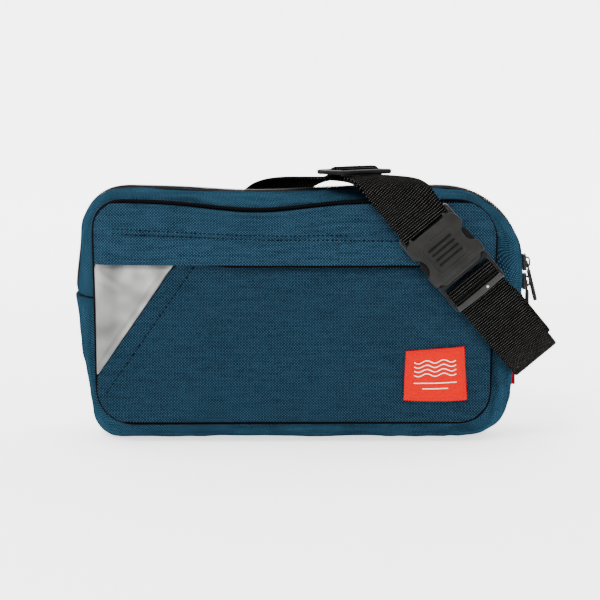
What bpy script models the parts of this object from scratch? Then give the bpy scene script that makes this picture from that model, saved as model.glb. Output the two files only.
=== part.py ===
"""Hip pack: a soft zipped pouch with a front pocket and a webbing belt closed by
a side-release buckle.  The pouch stands on its flat bottom; +X is its width,
+Z is up, the front faces -Y.  All dimensions in metres.

The shell is a loft between a front seam outline, a fuller crest outline at
mid depth and a back seam outline.  Each cloth piece is a thin solid of its own.
The webbing is laid out flat and then wrapped over the pouch.
"""
import math
import bpy
import bmesh
import numpy as np
from mathutils import Matrix, Vector

for stale in list(bpy.data.objects):
    bpy.data.objects.remove(stale, do_unlink=True)

# ---------------------------------------------------------------- dimensions
MM = 0.001
CLOTH = 1.2              # gusset cloth with its backing, mm
PANEL = 1.0              # front and pocket cloth
SEAM_Y = 32.6            # gusset edge, each side of the middle
PIPE_Y, PIPE_R = 34.3, 1.1
PANEL_INSET = 1.5        # panels stop short of the piping
CREST_POWER = 2.4        # how full the gusset is between its seams
ZIP_C = (83.8, 101.0)    # centre of the zip's corner arc (x, z)
ZIP_R = 48.8             # radius of that arc, at the cloth
TAPE_IN, TAPE_OUT = 1.5, 7.2   # zip tape, across
COIL_R = 1.0
FRONT_Y = -33.9          # wall behind the pocket
POCKET_Y = -35.3         # pocket cloth at its seam
CROWN = 3.2              # the pocket's fullness
LIP = 2.3                # step of the storm flap over the pocket
FLAP_TOP, FLAP_LOW = 123.4, 105.8
FLAP_X0, FLAP_X1 = -85.0, 52.0
POCKET_TOP = 111.0
PZIP_Z = 115.0
PZIP_X0, PZIP_X1 = -96.0, 92.0
WEB_W, WEB_T = 31.0, 1.5
ALONG = (0.643, -0.766)  # belt direction over the front (x, z), downwards
ACROSS = (0.766, 0.643)
BUCKLE = (69.7, -46.0, 131.3)   # middle of the buckle's upper edge
GAP = 0.3

part_collection = bpy.data.collections.new("hip_pack")
bpy.context.scene.collection.children.link(part_collection)
cutter_collection = bpy.data.collections.new("cutters")
bpy.context.scene.collection.children.link(cutter_collection)


def material(name, colour, rough, metallic=0.0):
    m = bpy.data.materials.new(name)
    m.use_nodes = True
    b = m.node_tree.nodes["Principled BSDF"]
    b.inputs["Base Color"].default_value = (*colour, 1.0)
    b.inputs["Roughness"].default_value = rough
    b.inputs["Metallic"].default_value = metallic
    return m


TEAL = (0.010, 0.075, 0.125)
BLACK = (0.012, 0.012, 0.013)
SMOKE = (0.035, 0.035, 0.037)
SILVER = (0.42, 0.43, 0.44)
RED = (0.75, 0.035, 0.02)
STEEL = (0.05, 0.05, 0.055)


# ------------------------------------------------------------------- outlines
def rounded(corners, between):
    """Closed outline: corners (x, z, radius, points), between[i] points on the
    run from corner i to corner i+1.  Returns points and the index of the middle
    of each corner's arc."""
    n = len(corners)
    ends = []
    for i, (x, z, r, k) in enumerate(corners):
        p = np.array((x, z), float)
        a = np.array(corners[i - 1][:2], float) - p
        b = np.array(corners[(i + 1) % n][:2], float) - p
        a /= np.linalg.norm(a)
        b /= np.linalg.norm(b)
        half = math.acos(max(-1.0, min(1.0, float(a @ b)))) / 2
        run = r / math.tan(half)
        centre = p + (a + b) / np.linalg.norm(a + b) * r / math.sin(half)
        u = p + a * run - centre
        v = p + b * run - centre
        sweep = math.atan2(u[0] * v[1] - u[1] * v[0], float(u @ v))
        arc = []
        for j in range(k):
            t = sweep * j / (k - 1)
            c, s = math.cos(t), math.sin(t)
            arc.append(centre + np.array((c * u[0] - s * u[1], s * u[0] + c * u[1])))
        ends.append(arc)
    points, middles = [], []
    for i, arc in enumerate(ends):
        middles.append(len(points) + len(arc) // 2)
        points += arc
        nxt = ends[(i + 1) % n][0]
        for j in range(between[i]):
            t = (j + 1) / (between[i] + 1)
            points.append(arc[-1] * (1 - t) + nxt * t)
    return np.array(points), middles


def sag(x):
    """The unsupported top edge dips a little left of the middle."""
    return np.exp(-(((x + 26.0) / 40.0) ** 2))


RUNS = (2, 13, 2, 2, 8, 2)


def seam_outline(inset=0.0):
    i = inset
    pts, mid = rounded(
        [
            (112.3 - i, 85.0, 260.0, 3),
            (115.3 - i, 143.4 - i, 24.0 - i, 13),
            (-121.5 + i, 143.0 - i, 17.0 - i, 9),
            (-120.6 + i, 86.0, 1500.0, 3),
            (-119.8 + i, 11.4 + i, 21.0 - i, 9),
            (110.8 - i, 12.4 + i, 18.0 - i, 9),
        ],
        RUNS,
    )
    top = pts[:, 1] > 136
    pts[top, 1] -= 5.5 * sag(pts[top, 0])
    return pts, mid


def crest_outline():
    cx, cz = ZIP_C
    pts, mid = rounded(
        [
            (cx + ZIP_R, 85.0, 80.0, 3),
            (cx + ZIP_R, cz + ZIP_R, ZIP_R, 13),
            (-127.5, cz + ZIP_R, 26.0, 9),
            (-135.3, 86.0, 80.0, 3),
            (-123.5, -2.0, 20.0, 9),
            (122.6, -2.0, 28.0, 9),
        ],
        RUNS,
    )
    top = pts[:, 1] > 146
    pts[top, 1] -= 3.0 * sag(pts[top, 0])
    return pts, mid


SEAM, MID = seam_outline()
CREST, _ = crest_outline()
N = len(SEAM)
ORDER = [(MID[0] + k) % N for k in range(N)]
SEAM, CREST = SEAM[ORDER], CREST[ORDER]
I_LEFT = (MID[3] - MID[0]) % N       # where the side seam crosses on the left


def shell(u, y, lift=0.0):
    """Point of the gusset at outline position u (fractional) and depth y, mm."""
    i = int(math.floor(u)) % N
    f = u - math.floor(u)
    j = (i + 1) % N
    s = SEAM[i] * (1 - f) + SEAM[j] * f
    c = CREST[i] * (1 - f) + CREST[j] * f
    b = 1 - abs(y / SEAM_Y) ** CREST_POWER
    p = s * (1 - b) + c * b
    if lift:
        t = CREST[j] - CREST[i]
        t = t / np.linalg.norm(t)
        p = p + lift * np.array((t[1], -t[0]))
    return (p[0], y, max(p[1], 0.0))


def frac(i, j, mm):
    return mm / float(np.linalg.norm(CREST[j % N] - CREST[i % N]))


def edge_x(z, side, inset):
    """x of the panel outline at height z on the left (-1) or right (+1)."""
    pts, _ = seam_outline(inset)
    n = len(pts)
    best = None
    for a in range(n):
        p, q = pts[a], pts[(a + 1) % n]
        if p[0] * side < 40 or q[0] * side < 40:
            continue
        lo, hi = min(p[1], q[1]), max(p[1], q[1])
        if lo - 1e-6 <= z <= hi + 1e-6 and hi - lo > 1e-9:
            t = (z - p[1]) / (q[1] - p[1])
            x = p[0] + t * (q[0] - p[0])
            best = x if best is None else (max(best, x) if side > 0 else min(best, x))
    return best


def crown(x, z):
    gx = max(0.0, 1 - abs((x + 3.0) / 117.0) ** 10)
    gz = max(0.0, 1 - abs((z - 78.0) / 66.0) ** 4)
    return gx * gz


def smooth(t):
    t = max(0.0, min(1.0, t))
    return t * t * (3 - 2 * t)


def wall_y(x, z):
    return FRONT_Y


def pocket_y(x, z):
    return POCKET_Y - CROWN * crown(x, z)


def yoke_y(x, z):
    return pocket_y(x, z) - LIP * smooth((137.0 - z) / 16.0) * smooth(
        min(x + 121.0, 114.5 - x) / 7.0 + 0.25
    )


def back_y(x, z):
    return 34.7 + 2.5 * crown(x, z)


def drop(x, z):
    """Height after the sagging of the top edge."""
    top = 143.2 - PANEL_INSET
    return z - 5.5 * sag(x) * min(1.0, max(0.0, (z - 100.0) / (top - 100.0))) ** 2


# -------------------------------------------------------------------- helpers
def link(ob, mat, cutter=False):
    (cutter_collection if cutter else part_collection).objects.link(ob)
    if cutter:
        ob.hide_render = True
        ob.display_type = "WIRE"
    elif mat is not None:
        ob.data.materials.clear()
        ob.data.materials.append(mat)
    return ob


def mesh_object(name, verts, faces, mat, cutter=False):
    me = bpy.data.meshes.new(name)
    me.from_pydata([tuple(c * MM for c in v) for v in verts], [], faces)
    me.update()
    return link(bpy.data.objects.new(name, me), mat, cutter)


def grid_solid(name, grid, thick, mat, outward=None, keep=None, origin=None):
    """An open grid of points (mm) made solid.  With outward, the grid is the
    outer surface; without, it is the middle of the thickness."""
    rows, cols = len(grid), len(grid[0])
    verts = [tuple(p) for r in grid for p in r]
    faces = []
    for r in range(rows - 1):
        for c in range(cols - 1):
            if keep is None or keep(r, c):
                a = r * cols + c
                faces.append((a, a + 1, a + cols + 1, a + cols))
    used = sorted({i for f in faces for i in f})
    index = {old: new for new, old in enumerate(used)}
    verts = [verts[i] for i in used]
    faces = [tuple(index[i] for i in f) for f in faces]
    if outward is not None:
        total = 0.0
        for f in faces:
            p = [Vector(verts[i]) for i in f]
            n = (p[2] - p[0]).cross(p[3] - p[1])
            total += n.dot(outward((p[0] + p[1] + p[2] + p[3]) / 4))
        if total < 0:
            faces = [tuple(reversed(f)) for f in faces]
    ob = mesh_object(name, verts, faces, mat)
    mod = ob.modifiers.new("thickness", "SOLIDIFY")
    mod.thickness = thick * MM
    mod.offset = -1.0 if outward is not None else 0.0
    mod.use_even_offset = True
    if origin is not None:
        put_origin(ob, origin)
    return ob


def put_origin(ob, point):
    """Move the object's origin to a point (mm) and leave its shape in place."""
    p = Vector(point) * MM
    ob.data.transform(Matrix.Translation(-p))
    ob.location = p


def frame_matrix(u, v, origin):
    """Local x, y along u, v (unit vectors); local z completes the set."""
    u, v = Vector(u).normalized(), Vector(v).normalized()
    w = u.cross(v)
    m = Matrix((u, v, w)).transposed().to_4x4()
    m.translation = Vector(origin) * MM
    return m


def plate(name, loops, half, bevel, matrix, mat, cutter=False, shift=0.0, steps=0):
    """Closed outlines (mm) filled and extruded to +-half, with rounded edges."""
    cu = bpy.data.curves.new(name + "_outline", "CURVE")
    cu.dimensions = "2D"
    cu.fill_mode = "BOTH"
    cu.extrude = (half - bevel) * MM
    cu.bevel_depth = bevel * MM
    cu.bevel_resolution = steps
    cu.offset = -bevel * MM
    for loop in loops:
        sp = cu.splines.new("POLY")
        sp.points.add(len(loop) - 1)
        for k, (x, y) in enumerate(loop):
            sp.points[k].co = (x * MM, y * MM, 0.0, 1.0)
        sp.use_cyclic_u = True
    temp = bpy.data.objects.new(name + "_temp", cu)
    bpy.context.scene.collection.objects.link(temp)
    dg = bpy.context.evaluated_depsgraph_get()
    me = bpy.data.meshes.new_from_object(temp.evaluated_get(dg))
    bpy.data.objects.remove(temp, do_unlink=True)
    me.name = name
    me.transform(Matrix.Translation((0, 0, shift * MM)))
    me.transform(matrix)
    tidy(me)
    return link(bpy.data.objects.new(name, me), mat, cutter)


def tidy(me):
    bm = bmesh.new()
    bm.from_mesh(me)
    bmesh.ops.remove_doubles(bm, verts=bm.verts, dist=0.00002)
    bmesh.ops.recalc_face_normals(bm, faces=bm.faces)
    bm.to_mesh(me)
    bm.free()


def tube(name, points, radius, mat, cyclic=False, resolution=1):
    """Round cord along points (mm)."""
    cu = bpy.data.curves.new(name + "_path", "CURVE")
    cu.dimensions = "3D"
    cu.bevel_depth = radius * MM
    cu.bevel_resolution = resolution
    cu.use_fill_caps = not cyclic
    sp = cu.splines.new("POLY")
    sp.points.add(len(points) - 1)
    for k, p in enumerate(points):
        sp.points[k].co = (p[0] * MM, p[1] * MM, p[2] * MM, 1.0)
    sp.use_cyclic_u = cyclic
    temp = bpy.data.objects.new(name + "_temp", cu)
    bpy.context.scene.collection.objects.link(temp)
    dg = bpy.context.evaluated_depsgraph_get()
    me = bpy.data.meshes.new_from_object(temp.evaluated_get(dg))
    bpy.data.objects.remove(temp, do_unlink=True)
    me.name = name
    tidy(me)
    return link(bpy.data.objects.new(name, me), mat)


def box_loop(x0, y0, x1, y1, r=0.0, k=3):
    """Rectangle with rounded corners."""
    if r <= 0:
        return [(x0, y0), (x1, y0), (x1, y1), (x0, y1)]
    out = []
    for cx, cy, a in (
        (x1 - r, y0 + r, -90),
        (x1 - r, y1 - r, 0),
        (x0 + r, y1 - r, 90),
        (x0 + r, y0 + r, 180),
    ):
        for j in range(k + 1):
            t = math.radians(a + 90.0 * j / k)
            out.append((cx + r * math.cos(t), cy + r * math.sin(t)))
    return out


def combine(ob, other, operation):
    mod = ob.modifiers.new(operation.lower(), "BOOLEAN")
    mod.operation = operation
    mod.object = other
    mod.solver = "EXACT"
    return ob


def spline(points, per):
    """Smooth run through points (Catmull-Rom), per steps in each span."""
    p = [np.array(q, float) for q in points]
    p = [2 * p[0] - p[1]] + p + [2 * p[-1] - p[-2]]
    out = []
    for i in range(1, len(p) - 2):
        for j in range(per):
            t = j / per
            out.append(
                0.5
                * (
                    2 * p[i]
                    + (p[i + 1] - p[i - 1]) * t
                    + (2 * p[i - 1] - 5 * p[i] + 4 * p[i + 1] - p[i + 2]) * t * t
                    + (3 * p[i] - p[i - 1] - 3 * p[i + 1] + p[i + 2]) * t ** 3
                )
            )
    out.append(p[-2])
    return out


def lerp_list(a, b, n):
    return [a + (b - a) * k / n for k in range(n + 1)]


def from_middle(p):
    return Vector((p[0] * 0.6, p[1], (p[2] - 76.0)))


def forward(p):
    return Vector((0, -1, 0))


def backward(p):
    return Vector((0, 1, 0))


M_TEAL = {}


def cloth(name):
    return material(name + "_mat", TEAL, 0.85)


# ---------------------------------------------------------------- the gussets
def u_list(i0, i1):
    """Outline positions from just after i0 to just before i1."""
    out = [i0 + frac(i0, i0 + 1, 0.5)]
    out += list(range(i0 + 1, i1))
    out.append(i1 - frac(i1 - 1, i1, 0.5))
    return out


TOP_RUN = u_list(0, I_LEFT)
LOW_RUN = u_list(I_LEFT, N)

for side, name in ((-1, "top_gusset_front"), (1, "top_gusset_rear")):
    ys = [side * y for y in (SEAM_Y, 28.5, 22.5, 14.5, TAPE_OUT + GAP)]
    grid_solid(
        name,
        [[shell(u, y) for y in ys] for u in TOP_RUN],
        CLOTH,
        cloth(name),
        outward=from_middle,
    )
LOW_YS = [-SEAM_Y, -28.5, -22.5, -14.5, -5.0, 5.0, 14.5, 22.5, 28.5, SEAM_Y]
grid_solid(
    "bottom_gusset",
    [[shell(u, y) for y in LOW_YS] for u in LOW_RUN],
    CLOTH,
    cloth("bottom_gusset"),
    outward=from_middle,
)

# main zip along the crest
ZIP_RUN = [0.35] + list(range(1, I_LEFT)) + [I_LEFT - 0.35]
for side, name in ((-1, "main_zip_tape_front"), (1, "main_zip_tape_rear")):
    ys = [side * y for y in (TAPE_OUT, 4.4, TAPE_IN)]
    grid_solid(
        name,
        [[shell(u, y, -0.4) for y in ys] for u in ZIP_RUN],
        0.7,
        material(name + "_mat", BLACK, 0.8),
        outward=from_middle,
    )
tube(
    "main_zip_coil",
    [shell(u, 0.0, -0.2) for u in ZIP_RUN[1:-1]],
    COIL_R,
    material("main_zip_coil_mat", BLACK, 0.45),
)

# piping round the front and back seams
for side, name in ((-1, "front_piping"), (1, "back_piping")):
    tube(
        name,
        [(SEAM[i][0], side * PIPE_Y, SEAM[i][1]) for i in range(N)],
        PIPE_R,
        material(name + "_mat", BLACK, 0.7),
        cyclic=True,
    )

# ------------------------------------------------------------ flat-cut panels
LOW_ROWS = [0.0, 0.8, 2.4, 5.0, 9.0, 14.0, 19.5]
HIGH_ROWS = [22.5, 15.0, 9.5, 5.5, 2.6, 0.9, 0.0]


def panel_rows(z0, z1, step):
    n = max(1, int(math.ceil((z1 - z0) / step)))
    return [z0 + (z1 - z0) * k / n for k in range(n + 1)]


def panel(name, surface, thick, mat, facing, rows, left, right, columns, sagging=True, **more):
    grid = []
    for z in rows:
        x0, x1 = left(z), right(z)
        grid.append(
            [
                (x, surface(x, drop(x, z) if sagging else z), drop(x, z) if sagging else z)
                for x in (x0 + (x1 - x0) * c for c in columns)
            ]
        )
    return grid_solid(name, grid, thick, mat, outward=facing, **more)


def outline_left(inset):
    return lambda z: edge_plain(z, -1, inset)


def outline_right(inset):
    return lambda z: edge_plain(z, 1, inset)


def edge_plain(z, side, inset):
    """Left or right edge of the panel outline before its top edge sags."""
    corners = {
        -1: ((-119.8, 11.4, 21.0), (-120.6, 86.0), (-121.5, 143.0, 17.0)),
        1: ((110.8, 12.4, 18.0), (112.3, 85.0), (115.3, 143.2, 24.0)),
    }[side]
    (xa, za, ra), (xm, zm), (xb, zb, rb) = corners
    if z < zm:
        x = xa + (xm - xa) * (z - za) / (zm - za)
    else:
        x = xm + (xb - xm) * (z - zm) / (zb - zm)
    x -= side * inset
    for zc, r, up in ((za + inset, ra - inset, 1), (zb - inset, rb - inset, -1)):
        t = (z - zc) * up
        if t < r:
            t = max(t, 0.0)
            x -= side * (r - math.sqrt(max(0.0, r * r - (r - t) ** 2)))
    return x


COLS = [0.0, 0.025, 0.07, 0.15, 0.28, 0.43, 0.57, 0.72, 0.85, 0.93, 0.975, 1.0]
PZ0 = 12.4 + PANEL_INSET
PZ1 = 143.2 - PANEL_INSET - 0.7
full_rows = [PZ0 + r for r in LOW_ROWS] + panel_rows(45.0, 105.0, 20.0) + [PZ1 - r for r in HIGH_ROWS]

panel(
    "front_panel", wall_y, PANEL, cloth("front_panel"), forward, full_rows,
    outline_left(PANEL_INSET), outline_right(PANEL_INSET), COLS,
)
panel(
    "back_panel", back_y, CLOTH, cloth("back_panel"), backward, full_rows,
    outline_left(PANEL_INSET), outline_right(PANEL_INSET), COLS,
)


def fold_line(z):
    """Slanting edge between the pocket cloth and the reflective corner."""
    return -119.5 + (z - 39.8) * 46.7 / 67.2


def pocket_left(z):
    return max(edge_plain(z, -1, PANEL_INSET), fold_line(z))


pocket_rows = [PZ0 + r for r in LOW_ROWS] + [35.0, 39.8, 46.0, 54.0, 64.0, 76.0, 88.0, 99.0, 106.0, POCKET_TOP]
panel(
    "pocket_panel", pocket_y, PANEL, cloth("pocket_panel"), forward, pocket_rows,
    pocket_left, outline_right(PANEL_INSET), COLS, sagging=False,
)
panel(
    "reflective_patch", lambda x, z: pocket_y(x, z) + 0.4, 0.6,
    material("reflective_patch_mat", SILVER, 0.35, 0.6), forward,
    [42.0, 46.0, 52.0, 60.0, 69.0, 78.0, 88.0, 98.0, 106.0, POCKET_TOP],
    outline_left(PANEL_INSET), lambda z: fold_line(z) - 0.6,
    [0.0, 0.08, 0.2, 0.4, 0.6, 0.8, 1.0], sagging=False,
)

# yoke: the strip above the pocket, with its two ends sewn down to the lip line
yoke_rows = [FLAP_LOW, 110.0, 115.0, 119.5, FLAP_TOP, 128.0, 133.0, 137.0, 139.4, 140.8, PZ1]
inner_x = [-85.0 - GAP, -60.0, -30.0, 0.0, 26.0, 52.0 + GAP, 75.0]
grid = []
for z in yoke_rows:
    x0, x1 = edge_plain(z, -1, PANEL_INSET), edge_plain(z, 1, PANEL_INSET)
    xs = [x0, x0 + 2.5, x0 + 7.0, (x0 + 7.0 + inner_x[0]) / 2] + inner_x
    xs += [(75.0 + x1 - 6.0) / 2, x1 - 6.0, x1 - 2.2, x1]
    grid.append([(x, yoke_y(x, drop(x, z)), drop(x, z)) for x in xs])
grid_solid(
    "front_yoke", grid, PANEL, cloth("front_yoke"), outward=forward,
    keep=lambda r, c: r >= 4 or c < 4 or c >= 9,
)
FLAP_AXIS = (-16.5, -41.0, FLAP_TOP - 1.0)
flap_cols = [k / 12 for k in range(13)]
flap_grid = [
    [
        (x, yoke_y(x, drop(x, z)), drop(x, z) - (GAP if z > 123 else 0.0))
        for x in (FLAP_X0 + (FLAP_X1 - FLAP_X0) * c for c in flap_cols)
    ]
    for z in (FLAP_LOW, 108.5, 112.0, 115.5, 119.5, FLAP_TOP)
]
grid_solid(
    "storm_flap", flap_grid, PANEL, cloth("storm_flap"), outward=forward, origin=FLAP_AXIS
)

# pocket zip, hidden by the flap
PZIP_Y = POCKET_Y - CROWN + 2.9


def pzip_y(x, z):
    return pocket_y(x, PZIP_Z) + 2.9


for name, z0, z1 in (("pocket_zip_tape_lower", 111.0 + GAP, 113.8), ("pocket_zip_tape_upper", 116.2, 121.6)):
    grid_solid(
        name,
        [
            [(x, pzip_y(x, z) - 0.3, z) for x in (PZIP_X0 + (PZIP_X1 - PZIP_X0) * k / 14 for k in range(15))]
            for z in (z0, z1)
        ],
        0.6,
        material(name + "_mat", BLACK, 0.8),
        outward=forward,
    )
tube(
    "pocket_zip_coil",
    [(x, pzip_y(x, PZIP_Z), PZIP_Z) for x in (PZIP_X0 + 1 + (PZIP_X1 - PZIP_X0 - 2) * k / 14 for k in range(15))],
    0.85,
    material("pocket_zip_coil_mat", BLACK, 0.45),
)

# labels
def label_edge(k, z):
    return k


LABEL = ((61.1, 55.5), (95.3, 58.2), (97.2, 26.5), (60.0, 26.2))
grid = []
for a in range(7):
    v = a / 6
    row = []
    for b in range(9):
        u = b / 8
        tl, tr, br, bl = (np.array(q) for q in LABEL)
        p = (tl * (1 - u) + tr * u) * (1 - v) + (bl * (1 - u) + br * u) * v
        p[1] -= 0.8 * v * math.sin(math.pi * u)
        row.append((p[0], pocket_y(p[0], p[1]) - 0.95, p[1]))
    grid.append(row)
grid_solid("red_label", grid, 0.6, material("red_label_mat", RED, 0.6), outward=forward)
grid_solid(
    "side_flag_label",
    [[(x, 34.4 + 0.35 * math.sin((x - 112.3) / 6.0), z) for x in (112.4, 116.0, 120.0, 124.0, 128.0, 130.8)] for z in (24.0, 29.5, 35.0)],
    0.9,
    material("side_flag_label_mat", (0.55, 0.02, 0.03), 0.6),
)

# ------------------------------------------------------------- zip hardware
def slider(name, centre, normal, tangent, scale, mat, origin):
    """Zip slider: a C-shaped shoe over the coil with an arched bridge on top.
    centre is the point of the cloth crest below it."""
    n, t = Vector(normal).normalized(), Vector(tangent).normalized()
    across = n.cross(t)
    k = scale
    shoe = [
        (-4.1, 0.15), (-4.1, 1.8), (-3.6, 2.2), (3.6, 2.2), (4.1, 1.8), (4.1, 0.15),
        (3.3, 0.15), (3.3, 1.2), (-3.3, 1.2), (-3.3, 0.15),
    ]
    body = plate(
        name, [[(x * k, y * k) for x, y in shoe]], 4.75 * k, 0.25 if k == 1.0 else 0.0,
        frame_matrix(across, n, centre), mat,
    )
    arch = plate(
        name + "_arch",
        [
            [(x * k, y * k) for x, y in ((-3.2, 1.6), (-3.0, 4.2), (-2.2, 5.0), (2.2, 5.0), (3.0, 4.2), (3.2, 1.6))],
            [(x * k, y * k) for x, y in ((-2.2, 2.35), (-2.1, 3.8), (-1.6, 4.15), (1.6, 4.15), (2.1, 3.8), (2.2, 2.35))],
        ],
        0.8 * k, 0.15 if k == 1.0 else 0.0,
        frame_matrix(t, n, centre), None, cutter=True,
    )
    combine(body, arch, "UNION")
    put_origin(body, origin)
    return body


def pull(name, pin, direction, length, jog, mat):
    """Zip pull: a yoke whose cross bar lies under the bridge, and a long tab."""
    d = Vector(direction).normalized()
    m = frame_matrix((0, 1, 0), d, pin)
    low, high = min(-2.0, jog - 1.0), max(2.0, jog + 1.0)
    yoke = plate(
        name,
        [
            [(-2.0, -0.55), (2.0, -0.55), (2.0, 4.6), (high, 5.0), (high, 6.6), (low, 6.6), (low, 5.0), (-2.0, 4.6)],
            [(-1.15, 0.55), (-1.15, 5.0), (1.15, 5.0), (1.15, 0.55)],
        ],
        0.55, 0.15, m, mat,
    )
    tab = plate(
        name + "_tab", [box_loop(jog - 1.0, 5.6, jog + 1.0, length, 0.9, 3)], 1.1, 0.35, m, None, cutter=True, steps=1,
    )
    combine(yoke, tab, "UNION")
    put_origin(yoke, pin)
    return yoke


metal = lambda name: material(name + "_mat", STEEL, 0.35, 0.9)
cx, cz = ZIP_C
UP_ANGLE = math.radians(3.3)
PIN_N = 3.2
up_n = (math.cos(UP_ANGLE), 0.0, math.sin(UP_ANGLE))
up_t = (-math.sin(UP_ANGLE), 0.0, math.cos(UP_ANGLE))
slider(
    "main_zip_slider_upper", (cx + ZIP_R * up_n[0], 0, cz + ZIP_R * up_n[2]), up_n, up_t, 1.0,
    metal("main_zip_slider_upper"), (cx, 0, cz),
)
UP_PIN = (cx + (ZIP_R + PIN_N) * up_n[0], 0, cz + (ZIP_R + PIN_N) * up_n[2])
pull("main_zip_pull_upper", UP_PIN, (5.9, 0, -23.8), 24.5, 3.3, material("main_zip_pull_upper_mat", BLACK, 0.5))
LOW_Z = 92.4
slider(
    "main_zip_slider_lower", (cx + ZIP_R, 0, LOW_Z), (1, 0, 0), (0, 0, 1), 1.0,
    metal("main_zip_slider_lower"), (cx + ZIP_R, 0, LOW_Z),
)
LOW_PIN = (cx + ZIP_R + PIN_N, 0, LOW_Z)
pull("main_zip_pull_lower", LOW_PIN, (0, 0, -1), 22.0, -2.2, material("main_zip_pull_lower_mat", BLACK, 0.5))
PZS_X = 74.0
slider(
    "pocket_zip_slider", (PZS_X, pzip_y(0, PZIP_Z) - 0.5, PZIP_Z), (0, -1, 0), (1, 0, 0), 0.65,
    metal("pocket_zip_slider"), (PZS_X, pzip_y(0, PZIP_Z), PZIP_Z),
)

# --------------------------------------------------------------- the buckle
D3 = Vector((ALONG[0], 0.0, ALONG[1])).normalized()
W3 = Vector((ACROSS[0], 0.0, ACROSS[1])).normalized()
BUCKLE_M = frame_matrix(D3, W3, BUCKLE)       # local z points to the front


def buckle_point(s, t, n):
    """Buckle coordinates: s down the belt, t across it, n towards the front."""
    return Vector(BUCKLE) + D3 * s + W3 * t + Vector((0, -1, 0)) * n


def mirror_loop(half):
    return half + [(s, -t) for s, t in reversed(half)]


plastic = lambda name: material(name + "_mat", SMOKE, 0.5)
SHOULDER = 18.3
body_half = [
    (6.9, 0.0), (6.9, 14.6), (6.2, 15.9), (8.0, 17.3), (10.5, 18.2), (12.6, SHOULDER), (14.2, 17.9),
    (15.4, 16.2), (17.0, 14.9), (19.5, 14.1), (22.0, 14.1), (24.2, 14.8), (25.8, 16.2),
    (27.0, 17.8), (28.6, SHOULDER), (33.4, SHOULDER), (34.7, 17.4), (34.7, 0.0),
]
female = plate(
    "buckle_female", [mirror_loop(body_half[1:-1])], 4.0, 0.9, BUCKLE_M,
    plastic("buckle_female"), steps=1,
)
rails = plate(
    "buckle_female_rails",
    [
        [(0.9, 17.3), (9.5, 17.5), (9.5, -17.5), (0.9, -17.3), (0.0, -16.6), (0.0, -15.9), (7.6, -15.9),
         (7.6, 15.9), (0.0, 15.9), (0.0, 16.6)],
    ],
    2.4, 0.4, BUCKLE_M, None, cutter=True,
)
bar = plate(
    "buckle_female_bar", [box_loop(0.2, -16.6, 2.4, 16.6)], 1.1, 0.5, BUCKLE_M, None, cutter=True, steps=1,
)
cavity = plate(
    "buckle_female_cavity", [box_loop(11.5, -30.0, 42.0, 30.0)], 2.0, 0.0, BUCKLE_M, None, cutter=True,
)
combine(combine(combine(female, rails, "UNION"), bar, "UNION"), cavity, "DIFFERENCE")

male = plate(
    "buckle_male",
    [
        box_loop(35.1, -17.0, 54.0, 17.0, 1.2, 2),
        box_loop(38.6, -15.8, 50.9, 15.8),
    ],
    2.2, 0.5, BUCKLE_M, plastic("buckle_male"),
)
tongue = plate(
    "buckle_male_tongue",
    [[(29.0, -9.4), (36.6, -15.0), (36.6, 15.0), (29.0, 9.4), (29.0, 3.0), (14.0, 2.0), (14.0, -2.0), (29.0, -3.0)]],
    1.6, 0.0, BUCKLE_M, None, cutter=True,
)
cross = plate(
    "buckle_male_bar", [box_loop(43.0, -16.3, 45.2, 16.3)], 1.1, 0.5, BUCKLE_M, None, cutter=True, steps=1,
)
relief = plate(
    "buckle_male_relief", [box_loop(50.0, -15.8, 56.0, 15.8)], 0.6, 0.0, BUCKLE_M, None, cutter=True, shift=-1.85,
)
combine(combine(combine(male, tongue, "UNION"), cross, "UNION"), relief, "DIFFERENCE")

PRONG_PIN = (31.6, 13.2)
for sign, name in ((1, "buckle_prong_right"), (-1, "buckle_prong_left")):
    half = [
        (33.0, 12.9), (33.0, 17.3), (28.0, 17.5), (26.4, 17.4), (24.0, 17.3), (21.0, 17.2), (18.0, 16.9),
        (16.4, 16.0), (15.9, 14.6), (16.8, 12.9), (20.0, 12.7), (24.0, 12.4), (28.0, 11.6), (30.2, 11.3), (32.2, 12.4),
    ]
    # keep clear of the slanting root of the tongue
    half = [(s, t + 0.5 if s > 29.5 and t < 13.5 else t) for s, t in half]
    loop = [(s, sign * t) for s, t in half]
    prong = plate(name, [loop], 1.55, 0.3, BUCKLE_M, plastic(name))
    put_origin(prong, tuple(buckle_point(PRONG_PIN[0], sign * PRONG_PIN[1], 0)))

# ------------------------------------------------------------- the webbing
WEB_COLS = [-WEB_W / 2 + WEB_W * k / 4 for k in range(5)]


def webbing(name, stations, mat=None):
    grid_solid(name, stations, WEB_T, mat or material(name + "_mat", BLACK, 0.75))


def strap_sn(path, per):
    """Ribbon that bends about the belt's cross direction: path of (s, n)."""
    return [[tuple(buckle_point(q[0], t, q[1])) for t in (-15.5, 15.5)] for q in spline(path, per)]


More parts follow.
